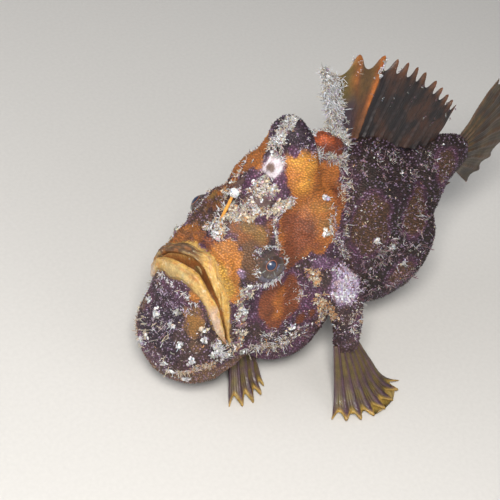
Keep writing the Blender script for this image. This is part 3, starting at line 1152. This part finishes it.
# the coat: crumbs, strands and twigs gathered into clumps
tufts = dict(
    white=(240, 238, 240), cream=(226, 208, 182), pink=(214, 184, 190), grey=(176, 174, 164),
    tan=(200, 150, 104), mauve=(136, 104, 116), lilac=(206, 186, 216),
)
tufts = {name: linear(rgb) for name, rgb in tufts.items()}
palettes = dict(
    pale=dict(white=0.32, cream=0.32, pink=0.12, grey=0.12, tan=0.05, mauve=0.07),
    hay=dict(white=0.08, cream=0.5, pink=0.1, grey=0.08, tan=0.19, mauve=0.05),
    snow=dict(white=0.7, cream=0.12, grey=0.1, lilac=0.08),
    fuzz=dict(white=0.5, cream=0.16, grey=0.16, pink=0.08, mauve=0.1),
    lilac=dict(lilac=0.36, white=0.34, pink=0.2, mauve=0.1),
    dusky=dict(mauve=0.56, pink=0.16, grey=0.18, white=0.1),
    tan=dict(tan=0.5, cream=0.34, white=0.06, mauve=0.1),
    chalk=dict(cream=0.3, grey=0.24, white=0.12, tan=0.12, mauve=0.22),
    heather=dict(lilac=0.38, white=0.2, pink=0.14, mauve=0.28),
)
pick = np.random.default_rng(101)
coat = dict(strands=[], crumbs=[])


def anyWay(count):
    return unit(pick.normal(size=(count, 3)))


def anyHue(palette, count):
    names = list(palettes[palette])
    chosen = pick.choice(len(names), count, p=np.array([palettes[palette][name] for name in names]))
    return np.array([tufts[name] for name in names])[chosen]


def addStrands(root, way, length, thick, hue, home, curl=0.45):
    n = len(root)
    coat["strands"].append((root, way, length, thick * np.ones(n), anyWay(n) * curl, hue * 0.62, hue, home))


def addCrumbs(middle, up, size, hue, home):
    coat["crumbs"].append((middle, up, size, hue, home))


def clump(roots, normals, wide, palette, crumbs=8, strands=6, length=(0.6, 1.2), lift=0.9, way=(0, 0, 0),
          thick=0.1):
    n = len(roots)
    family = anyHue(palette, n)
    if crumbs:
        many = n * crumbs
        up, home, r = (np.repeat(a, crumbs, 0) for a in (normals, roots, wide))
        across, other = anyAcross(up, int(pick.integers(1e6)))
        turnRound, out = pick.uniform(0, 2 * math.pi, many), np.sqrt(pick.random(many))
        flat = (across * np.cos(turnRound)[:, None] + other * np.sin(turnRound)[:, None]) * (out * r)[:, None]
        size = r * pick.uniform(0.22, 0.6, many)
        rise = (1 - out**2) * r * pick.uniform(0, 0.7, many)
        hue = np.where(pick.random((many, 1)) < 0.65, np.repeat(family, crumbs, 0), anyHue(palette, many))
        addCrumbs(home + flat + up * rise[:, None], up, size, hue * pick.uniform(0.45, 1.1, (many, 1)), home)
    if strands:
        many = n * strands
        up, home, r = (np.repeat(a, strands, 0) for a in (normals, roots, wide))
        heading = anyWay(many)
        heading = heading - up * (heading * up).sum(1)[:, None]
        heading = unit(heading + up * lift * pick.uniform(0.1, 1, many)[:, None] + np.array(way))
        hue = np.where(pick.random((many, 1)) < 0.6, np.repeat(family, strands, 0), anyHue(palette, many))
        start = home + heading * (r * pick.uniform(0, 0.7, many))[:, None] - up * 0.1
        addStrands(start, heading, pick.uniform(*length, many), thick * pick.uniform(0.7, 1.3, many),
                   hue * pick.uniform(0.6, 1.1, (many, 1)), home)


def twig(roots, normals, length, palette, thick=0.11, branches=6, way=(0, 0, 0)):
    n = len(roots)
    heading = unit(normals + anyWay(n) * 0.6 + np.array(way))
    bend = anyWay(n) * 0.35
    hue = anyHue(palette, n)
    base = roots - normals * 0.2
    coat["strands"].append((base, heading, length, np.full(n, thick), bend, hue * 0.65, hue, roots))
    s = pick.uniform(0.3, 0.95, (n, branches))
    fork = base[:, None] + heading[:, None] * (length[:, None] * s)[..., None]
    fork = fork + bend[:, None] * (length[:, None] * s * s)[..., None]
    side = unit(heading[:, None] * 0.6 + pick.normal(size=(n, branches, 3)) * 0.7).reshape(-1, 3)
    size = (length[:, None] * 0.36 * (1.1 - s * 0.6) * pick.uniform(0.5, 1.2, s.shape)).ravel()
    addStrands(fork.reshape(-1, 3), side, size, thick * 0.75, np.repeat(hue, branches, 0),
               np.repeat(roots, branches, 0))


def onSkin(points):  # the nearest skin to each point, and its normal
    roots, normals = [], []
    for p in points:
        place, normal, *_ = skinTree.find_nearest(Vector(p))
        roots.append(place)
        normals.append(normal)
    return np.array(roots, float).reshape(-1, 3), np.array(normals, float).reshape(-1, 3)


def alongLine(line, count, stray, both=True):
    p = curveThrough(line)(pick.random(count)) + pick.normal(size=(count, 3)) * stray
    if both:
        far = pick.random(count) < 0.5
        p[far, 1] *= -1
    return onSkin(p)


growths = dict(  # where the coat grows: line on the left side, how far it strays, and what it is made of
    brow=dict(line=[
        (6.5, -1.1, 16.4), (8.2, -0.8, 18.5), (10.6, -1.5, 20.3), (12, -3.5, 20.4), (14.3, -4.6, 21),
        (16.7, -6, 20.8), (19.8, -6.5, 21.6), (22.4, -7.2, 22)], stray=0.5, clumps=95, far=0.15,
        wide=(0.4, 0.85), palette="hay", crumbs=6, strands=5),
    browEnd=dict(line=[
        (20.5, -6.6, 21.6), (22.7, -7.2, 22.2)], far=0, stray=0.5, clumps=16, wide=(0.4, 0.8),
        palette="pale"),
    browStart=dict(line=[
        (6.3, -1, 16.2), (7, -1.4, 17)], stray=0.6, clumps=16, far=0.3, wide=(0.4, 0.8), palette="pale"),
    aroundLure=dict(line=[
        (9.3, 0.4, 19.9), (11.5, -2, 20.4), (12.8, -2.5, 21.2), (15.3, -2.6, 22.4), (15.8, -1.6, 25.5)],
        stray=0.7, clumps=62, far=0.15, wide=(0.3, 0.75), palette="pale", crumbs=6),
    belowWhite=dict(line=[
        (16.3, -1.9, 26.6), (18.4, -2.4, 27), (17.9, -2.4, 25.3), (18.9, -4.2, 24.6), (16.6, -2.3, 24.2),
        (19.5, -4.4, 24.8), (19.5, -3, 26.6)], stray=0.42, clumps=64, far=0, wide=(0.4, 0.9),
        palette="pale", crumbs=6, strands=2),
    eyeLine=dict(line=[
        (20.3, -6.9, 21.5), (18, -7.8, 19.7), (16.9, -8.8, 17.6), (16.5, -10.4, 15.9), (16.7, -11.8, 14)],
        stray=0.3, far=0.3, clumps=38, wide=(0.2, 0.5), palette="pale", crumbs=4, length=(0.4, 0.9)),
    lashes=dict(line=[
        (9.5, -11.8, 6.8), (11.5, -12.7, 6.3), (13.2, -13.3, 6.4), (15.2, -13.6, 6.6), (17, -13.5, 7.6)],
        stray=0.25, clumps=46, wide=(0.2, 0.35), palette="snow", crumbs=2, strands=5, length=(0.8, 1.5),
        lift=0.6, way=(-0.7, 0, -1.1)),
    eyeRim=dict(line=[
        (10.7, -9.6, 13.6), (12.6, -9.8, 14.7), (14.3, -10.3, 15), (16, -11.4, 14.2), (17.6, -12.5, 11.4),
        (18.2, -13.3, 8.8)], stray=0.3, clumps=44, wide=(0.14, 0.4), palette="snow", crumbs=3, strands=2,
        length=(0.3, 0.7)),
    eyeCorner=dict(line=[
        (10.4, -11.2, 10.6), (10.3, -11.8, 8.8), (10.9, -9.8, 13.2)], stray=0.35, clumps=22,
        wide=(0.12, 0.34), palette="snow", crumbs=3, strands=2, length=(0.3, 0.6)),
    cheekBand=dict(line=[
        (9.2, -11.8, 6.6), (7, -12, 5), (6, -12.4, 2), (6, -12.9, -1), (6.4, -13.4, -4.4),
        (6.2, -13.5, -8.4), (4.8, -13.2, -12)], stray=0.6, clumps=86, wide=(0.3, 0.85), palette="chalk",
        crumbs=8, strands=3, length=(0.6, 1.6), lift=0.3, thick=0.11),
    infraEdge=dict(line=[
        (22.4, -13.7, 2.4), (23, -15.1, -1.2), (20.9, -15.6, -3.4), (18, -16.4, -5.6), (15, -16.6, -7.4),
        (12.4, -16.1, -9)], stray=0.9, clumps=34, wide=(0.14, 0.4), palette="snow", crumbs=3, strands=3,
        length=(0.5, 1.3), lift=0.4),
    lowCheek=dict(line=[
        (12.2, -15.8, -9.6), (11, -14.8, -12.8), (14.7, -15.8, -14), (19, -17, -13), (22.9, -18.1, -13.6)],
        stray=1.3, clumps=80, wide=(0.15, 0.6), palette="pale", crumbs=4, strands=5, length=(0.6, 1.8),
        lift=0.4),
    tanHigh=dict(line=[
        (24.6, -15.2, 5), (26.2, -15.6, 2.6), (27.2, -16.4, 0.4)], stray=0.5, clumps=34, wide=(0.35, 0.8),
        palette="tan", strands=1),
    tanLow=dict(line=[
        (26.9, -17.6, -3.6), (28.6, -18.6, -6), (30.4, -19.4, -9.4), (30, -18.8, -13.4)], stray=0.9,
        clumps=76, wide=(0.3, 0.75), palette="tan", strands=4),
    elbow=dict(line=[
        (32.3, -17.2, 2), (35.3, -17.8, 1), (34.6, -20.2, -0.8), (32.4, -19.4, -0.8), (31, -20, -3),
        (33.6, -21.6, -2.6), (33, -20.2, -1)], stray=0.55, clumps=170, wide=(0.5, 0.95), palette="lilac",
        crumbs=6, strands=3, length=(0.5, 1), lift=2),
    foldInner=dict(line=[
        (31.4, -14, 21.3), (29.6, -15.8, 18.6), (29.5, -17.1, 14.4), (33, -17.2, 8), (38, -16.3, 2)],
        stray=0.2, clumps=70, wide=(0.15, 0.36), palette="pale", crumbs=4, strands=2, length=(0.4, 1)),
    foldOuter=dict(line=[
        (33.1, -14.2, 20.2), (31.1, -15.9, 17.9), (31, -17.5, 13.6), (34.5, -16.8, 8), (38, -15.8, 3)],
        stray=0.25, clumps=70, wide=(0.15, 0.4), palette="dusky", crumbs=4, strands=2, length=(0.4, 1)),
    patchEdge=dict(line=[
        (40.2, -4.9, 24.4), (41.6, -6.4, 21.4), (39.6, -9, 20.2), (37, -12.5, 19.4), (35.2, -15, 16.8),
        (34.5, -16.8, 12)], stray=0.8, clumps=32, wide=(0.15, 0.5), palette="pale", crumbs=4, strands=5,
        length=(0.7, 1.8), lift=0.6),
    humpFront=dict(line=[
        (23.6, -0.6, 37), (22.8, -0.6, 35), (22.2, -1, 33.4), (21.6, -1.4, 32.2), (22.4, -2.2, 31.2)],
        stray=0.5, clumps=40, wide=(0.3, 0.65), palette="fuzz", crumbs=7, strands=4),
    humpTop=dict(line=[
        (24.4, 0.6, 38), (25.4, 0.4, 38.4), (26.6, 0, 38.2)], stray=0.5, clumps=22, wide=(0.25, 0.5),
        palette="fuzz", length=(0.5, 1.2)),
    humpSide=dict(line=[
        (25.4, -3.4, 35.6), (27.6, -5.2, 33), (29.4, -5.8, 31.6)], stray=1, clumps=26, wide=(0.1, 0.28),
        palette="lilac", crumbs=2, strands=2, length=(0.4, 0.9)),
    saddle=dict(line=[
        (33.6, -3.6, 28.4), (35.4, -3.9, 26.9), (38.1, -4.6, 25.4), (40.6, -5, 24.2), (42.4, -5, 23.6)],
        stray=0.35, clumps=40, wide=(0.2, 0.6), palette="fuzz", crumbs=5, strands=6, length=(0.8, 2),
        lift=0.7),
    saddleBack=dict(line=[
        (33.4, 0.8, 29.4), (36.4, 1.8, 28.6), (39.6, 2.4, 27.8), (42.4, 1.2, 27.4)], stray=0.35, clumps=44,
        far=0, wide=(0.2, 0.6), palette="fuzz", strands=5, length=(0.6, 1.5)),
    dorsalFoot=dict(line=[
        (42.4, 0.2, 27.3), (43.4, -0.6, 26.8), (44.2, -1.4, 26), (44.8, -2, 25)], stray=0.4, clumps=40,
        wide=(0.35, 0.85), palette="fuzz", crumbs=7, strands=7, length=(0.8, 2)),
    chinTop=dict(line=[
        (-3.2, -6.4, 0.6), (-3.8, -4, -1), (-3.8, -1.6, -1.4), (-3.4, 2, 0)], stray=0.9, clumps=28,
        wide=(0.12, 0.34), palette="heather", crumbs=4, strands=2, length=(0.3, 0.8)),
    chinRim=dict(line=[
        (-2.4, -6.4, 2.4), (-2.9, -3, 3.2), (-2.6, 2.9, 3.2), (-2.2, 5.6, 2.6)], stray=0.3, clumps=12,
        wide=(0.15, 0.4), palette="snow", crumbs=4, strands=3, length=(0.5, 1.2)),
    chinBand=dict(line=[
        (-5.5, -6.9, -18.4), (-4.4, -9.3, -15.9), (-2, -11.1, -14.4), (0.4, -12.3, -14)], stray=0.35,
        clumps=70, wide=(0.2, 0.5), palette="hay", crumbs=5, strands=3),
    mouthCorner=dict(line=[
        (1.2, -11.8, -7.6), (1.6, -12.5, -10.4), (2.6, -13, -13.5)], stray=0.8, clumps=44, wide=(0.25, 0.6),
        palette="snow", strands=4),
    cornerEnd=dict(line=[
        (3.6, -11.9, -8.8), (4.3, -12.4, -8.8)], stray=0.4, clumps=12, wide=(0.25, 0.5), palette="chalk",
        strands=4),
    farStrip=dict(line=[
        (23.2, -12.4, 16.5), (26.8, -12, 21.1), (29, -11, 23)], side=1, stray=1, clumps=5, wide=(0.3, 0.55),
        palette="snow"),
    flank=dict(line=[
        (45, -15, -3.9), (50, -16, -4), (51, -14.9, 1.8), (55.5, -16, -3.8), (62, -15.5, -2),
        (66, -13.5, 2)], stray=2.8, clumps=60, wide=(0.12, 0.5), palette="dusky", crumbs=5, strands=5,
        length=(0.6, 1.8)),
    lowFlank=dict(line=[
        (46, -16, -12), (55, -18, -14), (62, -17.5, -14)], stray=3, clumps=60, wide=(0.15, 0.6),
        palette="dusky", crumbs=5, strands=4),
    back=dict(line=[
        (48, -6, 21), (56, -7, 18), (66, -7, 12), (78, -5, 7)], stray=2.2, clumps=80, wide=(0.15, 0.55),
        palette="dusky", crumbs=4, strands=4),
    arm=dict(line=[
        (34, -21.4, -6), (35.4, -23, -11), (35.4, -24.6, -16)], stray=1.3, clumps=50, wide=(0.15, 0.45),
        palette="pale", crumbs=4, strands=3),
)
clumpOptions = ("crumbs", "strands", "length", "lift", "way", "thick")
for growth in growths.values():
    options = {key: growth[key] for key in clumpOptions if key in growth}
    count, stray = growth["clumps"], growth["stray"]
    grown = [] if "side" in growth else [alongLine(growth["line"], count, stray, both=False)]
    line = [(x, -y, z) for x, y, z in growth["line"]]
    grown.append(alongLine(line, round(count * growth.get("far", 1)), stray, both=False))
    roots, normals = (np.concatenate(pair) for pair in zip(*grown))
    clump(roots, normals, pick.uniform(*growth["wide"], len(roots)), growth["palette"], **options)

# single specks and short curled strands, most where the granules are mixed and pale
speckTries, chinSpecks = 16000, 430
points, normals, vert = scatterOnSkin(speckTries, 55)
loose = readValue(skin.data, "free")[vert] * ramp(readValue(skin.data, "grain")[vert], 0.3, 0.8)
loose *= ramp(lumps(points, 5, 81) + 0.6 * lumps(points, 2, 82), -0.5, 0.6)
keep = pick.random(len(points)) < 0.03 + loose * mix(0.6, 0.34, ramp(points[:, 0], 38, 48))
points, normals = points[keep], normals[keep]
third = len(points) // 3
wide = pick.uniform(0.12, 0.26, third)
clump(points[:third], normals[:third], wide * 2, "pale", crumbs=2, strands=0)
clump(points[third:2 * third], normals[third:2 * third], wide, "pale", crumbs=0, strands=1,
      length=(0.4, 1.3), lift=0.35, thick=0.085)
clump(points[2 * third:], normals[2 * third:], wide[:1] * np.ones(len(points) - 2 * third), "dusky",
      crumbs=1, strands=2, length=(0.3, 0.8), lift=0.5, thick=0.08)

# a dense scatter of small specks on the chin
roots, normals = alongLine([(-2.6, 0, 3), (-4.4, 1.5, -3), (-6, 3, -8), (-8, 3.6, -14), (-7, 6, -19)],
                           chinSpecks, 2.2)
clump(roots, normals, pick.uniform(0.1, 0.26, len(roots)), "heather", crumbs=2, strands=1,
      length=(0.3, 0.7), lift=0.6, thick=0.08)

# soft white balls, most on the chin, each with a few arms
ballPlaces = [
    (-5.4, -2.6, -5.7), (-5.4, 2.6, -5.7), (-7.9, 3.9, -15.7), (-7.9, -3.9, -15.7), (-5.6, -6.3, -9),
    (-1.3, -9.8, -6.8), (0, -11.9, -11.1), (-4.1, -9.6, -12.2), (-1.6, -9.3, -3.4), (-3.8, -2.4, -1.9),
    (-6.8, -5.5, -17.9), (-4, -8.4, -20), (-3.9, 6.8, -6.4), (-7.8, 2.6, -12.3), (0.6, -11.7, -9.8),
    (8, -14, -14), (6.6, -12.8, 1), (27.6, -15.9, 15.6), (31.6, -11.4, 23), (47, -15, 3), (53, -16, -2),
    (57, -17.5, -8), (0, 11.9, -11), (-4.2, 9.6, -12), (15.2, -4, 19.6), (46, 14, 6), (55, 15, 0),
    (7, 13.4, -6), (21, 16, -8), (20, -16.8, -9),
]
roots, normals = onSkin(ballPlaces)
clump(roots, normals, pick.uniform(0.7, 1.05, len(roots)), "snow", crumbs=12, strands=12,
      length=(0.5, 1.1), lift=1.2, thick=0.12)

# the lure is ragged: short arms all round it
arms = anyWay(46)
clump(np.array(pose["lureAt"]) + arms * 0.85, arms, pick.uniform(0.2, 0.4, len(arms)), "snow", crumbs=2,
      strands=2, length=(0.3, 0.7), thick=0.1)

# branched twigs
sprigs = [
    dict(line=[
        (-7.4, 1.5, -6), (-8.4, 3, -11), (-8, 3.5, -17)], stray=1.8, count=14, length=(1.6, 3.2),
        palette="pale"),
    dict(line=[
        (-2, 6.4, 2.6), (-2.6, 3.4, 3), (-3, 0, 3)], stray=0.5, count=3, length=(1, 1.8), palette="snow"),
    dict(line=[
        (23.6, -0.6, 36), (24.2, 0, 38), (25.6, 0.6, 38.4)], stray=0.6, count=14, length=(1, 2),
        palette="pale"),
    dict(line=[
        (36, -4.4, 26.2), (40.2, -4.9, 24.6), (38, -11, 20), (35, -15, 16)], stray=0.8, count=24,
        length=(1.4, 2.8), palette="pale"),
    dict(line=[(33, -20, -1), (35, -21, -4)], stray=1.6, count=26, length=(1.2, 2.2), palette="lilac"),
    dict(line=[
        (44, -14, 0), (50, -16, -4), (60, -16, -8)], stray=4, count=26, length=(1.2, 2.6), palette="dusky"),
    dict(line=[
        (12, -3, 20.6), (9, -1, 19), (7, -1, 17)], stray=0.8, count=24, length=(0.9, 1.8), palette="snow"),
    dict(line=[
        (8, -13, -10), (14, -15, -14), (20, -17, -14)], stray=1.6, count=30, length=(1.2, 2.2),
        palette="pale"),
]
for sprig in sprigs:
    roots, normals = alongLine(sprig["line"], sprig["count"] * 2, sprig["stray"])
    twig(roots, normals, pick.uniform(*sprig["length"], len(roots)), sprig["palette"])

# white fuzz up the front ray of the dorsal fin, a little on the other tips
dorsal = fins["dorsalFin"]
gaps = dorsal["rays"] - 1
count, twigs = 320, 60
v = pick.uniform(0.06, 1, count)
u = np.abs(pick.normal(0, 1, count)) * mix(0.034, 0.024, v)
roots = finMiddle(dorsal, u, v)
front = np.array([-1.0, 0, 0.3]) + finNormal(dorsal, u, v) * pick.uniform(-1, 1, count)[:, None] * 1.2
front = unit(front)
clump(roots + front * 0.5, front, pick.uniform(0.25, 0.65, count), "snow", crumbs=4, strands=7,
      length=(0.7, 1.9))
twig(roots[:twigs] + front[:twigs] * 0.5, front[:twigs], pick.uniform(1.4, 2.8, twigs), "snow")
count = 52  # on the second and third rays' tips
u, v = np.repeat((1, 2), count // 2) / gaps + pick.normal(0, 0.006, count), pick.uniform(0.78, 1, count)
sides = finNormal(dorsal, u, v) * pick.choice((-1, 1), count)[:, None]
sides = unit(sides + np.array([-0.6, 0, 0.2]))
clump(finMiddle(dorsal, u, v) + sides * 0.5, sides, pick.uniform(0.15, 0.4, count), "snow", crumbs=3,
      strands=3, length=(0.4, 1.2))
count = 70  # here and there on all rays
u, v = np.round(pick.random(count) * gaps) / gaps, pick.uniform(0.45, 0.95, count)
sides = finNormal(dorsal, u, v) * pick.choice((-1, 1), count)[:, None]
clump(finMiddle(dorsal, u, v) + sides * 0.55, sides, pick.uniform(0.12, 0.3, count), "dusky", crumbs=3,
      strands=2, length=(0.4, 1))


def joinShapes(name, verts, local, tint, home, limit=190000):  # many small shapes with the same faces
    flat = np.array([(math.cos(k * 2.4), math.sin(k * 2.4)) for k in range(verts.shape[1])]) * 0.0012
    uv = unwrap(home)[:, None] + flat[None]
    pieces = []
    order = np.argsort(home[:, 0], kind="stable")
    for i, part in enumerate(np.array_split(order, math.ceil(len(verts) * len(local) / limit))):
        faces = (local[None] + np.arange(len(part))[:, None, None] * verts.shape[1]).reshape(-1, 3)
        pieces.append(arrayMesh(f"{name}{i + 1}", verts[part].reshape(-1, 3), faces,
                                tint[part].reshape(-1, 3), uv[part].reshape(-1, 2)))
    print(name, len(verts), "in", len(pieces), "pieces")
    return pieces


def strandMesh():
    root, way, length, thick, bend, near, far, home = (np.concatenate(rows) for rows in zip(*coat["strands"]))
    across, other = anyAcross(way, 77)
    corners = np.array([0, 2, 4]) * math.pi / 3
    ring = across[:, None] * np.cos(corners)[None, :, None] + other[:, None] * np.sin(corners)[None, :, None]
    rows, tints = [], []
    for s, r in ((0, 1), (0.4, 0.9), (0.8, 0.7)):
        middle = root + way * (length * s)[:, None] + bend * (length * s * s)[:, None]
        rows.append(middle[:, None] + ring * (thick * r)[:, None, None])
        tints.append(np.repeat(mix(near, far, s)[:, None], 3, 1))
    rows.append((root + way * length[:, None] + bend * length[:, None])[:, None])
    tints.append(far[:, None])
    local = [(0, 2, 1)]
    for row in (0, 3):
        for k in range(3):
            a, b = row + k, row + (k + 1) % 3
            local += [(a, b, b + 3), (a, b + 3, a + 3)]
    local += [(6, 7, 9), (7, 8, 9), (8, 6, 9)]
    return joinShapes("strands", np.concatenate(rows, 1), np.array(local), np.concatenate(tints, 1), home)


def crumbMesh():
    middle, up, size, hue, home = (np.concatenate(rows) for rows in zip(*coat["crumbs"]))
    bm = bmesh.new()
    bmesh.ops.create_icosphere(bm, subdivisions=1, radius=1)
    ball = np.array([v.co for v in bm.verts])
    local = np.array([[v.index for v in f.verts] for f in bm.faces])
    bm.free()
    n = len(middle)
    across, other = anyAcross(up, 78)
    knobs = ball[None] * (1 + pick.uniform(-0.35, 0.35, (n, len(ball), 1)))
    shape = np.c_[pick.uniform(0.8, 1.7, n), pick.uniform(0.6, 1, n), pick.uniform(0.6, 1.1, n)]
    knobs = knobs * (shape * size[:, None])[:, None]
    verts = middle[:, None] + knobs[..., :1] * across[:, None] + knobs[..., 1:2] * other[:, None]
    verts = verts + knobs[..., 2:] * up[:, None]
    shade = mix(0.3, 1.08, ramp(ball[:, 2], -0.7, 0.6))
    tint = hue[:, None] * shade[None, :, None] * pick.uniform(0.85, 1.1, (n, len(ball), 1))
    return joinShapes("crumbs", verts, local, tint, home)


coatPieces = strandMesh() + crumbMesh()


# finishes
skinFinish = tissue("wartySkin", rough=0.62, subsurface=0.08, grainSize=0.00034, grainBump=0.12, mottle=0.18)
granuleFinish = tissue("grains", rough=0.5, subsurface=0.05, grainSize=0.00016, grainBump=0.03, mottle=0.15,
                       mottleSize=0.0008)
lipFinish = tissue("moistLip", rough=0.55, coat=0.08, subsurface=0.25, grainSize=0.00042, grainBump=0.07,
                   mottle=0.2, mottleSize=0.0016)
finFinish = tissue("finWeb", rough=0.5, coat=0.1, subsurface=0.25, grainSize=0.0004, grainBump=0.06,
                   mottle=0.2)
coatFinish = tissue("wool", rough=0.75, subsurface=0.3, depth=0.0005, grainSize=0.0002, grainBump=0.02,
                    mottle=0.15, mottleSize=0.0009, sheen=0.1)
rodFinish = tissue("rod", rough=0.4, coat=0.2, subsurface=0.3, grainSize=0.0003, grainBump=0.03, mottle=0.12)
lureFinish = tissue("lure", rough=0.6, subsurface=0.3, grainSize=0.0002, grainBump=0.05, mottle=0.1)

finish(skin, skinFinish, "skin", "head", "torso", "tail_stalk", "lower_jaw", "pectoral_arm_left",
       "pectoral_arm_right", "second_dorsal_spine", "third_dorsal_spine")
finish(lipPieces["lowerLip"], lipFinish, "lip_skin", "lower_lip")
finish(lipPieces["upperLip"], lipFinish, "lip_skin", "upper_lip")
finish(lipPieces["jawStrapLeft"], lipFinish, "lip_skin")
finish(lipPieces["jawStrapRight"], lipFinish, "lip_skin")
for name, node in dict(dorsalFin="soft_dorsal_fin", tailFin="caudal_fin", analFin="anal_fin",
                       handLeft="pectoral_fin_left", handRight="pectoral_fin_right",
                       propLeft="pelvic_fin_left", propRight="pelvic_fin_right").items():
    finish(finPieces[name], finFinish, "fin", node)
finish(rodPiece, rodFinish, "rod", "lure_rod")
finish(lurePiece, lureFinish, "lure", "lure")
for piece in granules + coatPieces:
    piece.data.materials.append(granuleFinish if piece in granules else coatFinish)
    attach(piece, "root")
print("finishes done")

# floor, light and camera
stage = dict(floorHalf=1.6, floorTone=(214, 212, 208), near=0.2, far=0.9, farGlow=0.3)
bm = bmesh.new()
bmesh.ops.create_grid(bm, x_segments=8, y_segments=8, size=stage["floorHalf"])
floor = addObject("floor", meshFrom(bm, "floor"))
paper, tree, bsdf = newMaterial("palePaper")
place = addNode(tree, "TexCoord", {}).outputs["Object"]
tones = addNode(tree, "ValToRGB", {"Fac": addNoise(tree, place, 900).outputs["Fac"]})
for element, shift in zip(tones.color_ramp.elements, (-5, 5)):
    element.color = (*linear(np.array(stage["floorTone"]) + shift), 1)
away = addNode(tree, "VectorMath", {0: place}, operation="LENGTH").outputs["Value"]
glow = addRange(tree, away, stage["near"], stage["far"], 0, stage["farGlow"])  # pale where no lamp reaches
feed(bsdf, {"Base Color": tones.outputs["Color"], "Roughness": 0.85, "Emission Color": (0.96, 0.97, 1, 1),
            "Emission Strength": glow})
floor.data.materials.append(paper)

shot = dict(heading=43.101, height=46.519, roll=8.406, centre=(184.408, 291.750), scale=4.36136, focal=1300,
            frame=500, sensor=36)
heading, height, roll = (math.radians(shot[k]) for k in ("heading", "height", "roll"))
view = np.array([math.cos(heading) * math.cos(height), math.sin(heading) * math.cos(height),
                 math.sin(height)])
right = np.array([-math.sin(heading), math.cos(heading), 0])
up = np.cross(view, right)
right, up = right * math.cos(roll) + up * math.sin(roll), up * math.cos(roll) - right * math.sin(roll)
flip = np.array([-1, -1, 1])
view, right, up = (turn @ (axis * flip) for axis in (view, right, up))
half = shot["frame"] / 2
aim = view * shot["focal"] - right * (half - shot["centre"][0]) + up * (half - shot["centre"][1])
aim = unit(aim)  # back along the line through the picture's middle
eyePoint = origin + view * shot["focal"] / shot["scale"] / 1000
right = unit(right - aim * (right @ aim))
up = np.cross(aim, right)
camera = bpy.data.objects.new("camera", bpy.data.cameras.new("camera"))
bpy.context.scene.collection.objects.link(camera)
camera.data.sensor_width = shot["sensor"]
camera.data.lens = shot["focal"] / shot["frame"] * shot["sensor"]
camera.data.clip_start = 0.01
camera.matrix_world = Matrix([(*row, eyePoint[i]) for i, row in enumerate(np.c_[right, up, aim])]
                             + [(0, 0, 0, 1)])
bpy.context.scene.camera = camera


def addLight(name, where, size, power, colour):
    lamp = bpy.data.lights.new(name, "AREA")
    lamp.size = size
    lamp.energy = power
    lamp.color = colour
    light = bpy.data.objects.new(name, lamp)
    bpy.context.scene.collection.objects.link(light)
    middle = Vector(origin + turn @ np.array([0.03, 0, 0.005]))
    light.location = middle + Vector(where)
    light.rotation_euler = (middle - light.location).to_track_quat("-Z", "Y").to_euler()


addLight("key", (-0.24, -0.16, 0.34), 0.14, 2.4, (1, 0.97, 0.93))
addLight("fill", (-0.55, 0.35, 0.35), 0.5, 1.3, (0.95, 0.97, 1))
addLight("side", (0.1, -0.65, 0.35), 0.5, 0.9, (1, 0.98, 0.96))
world = bpy.data.worlds.new("studio")
world.use_nodes = True
world.node_tree.nodes["Background"].inputs["Color"].default_value = (0.9, 0.93, 1, 1)
world.node_tree.nodes["Background"].inputs["Strength"].default_value = 0.2
bpy.context.scene.world = world
bpy.context.scene.view_settings.view_transform = "Standard"
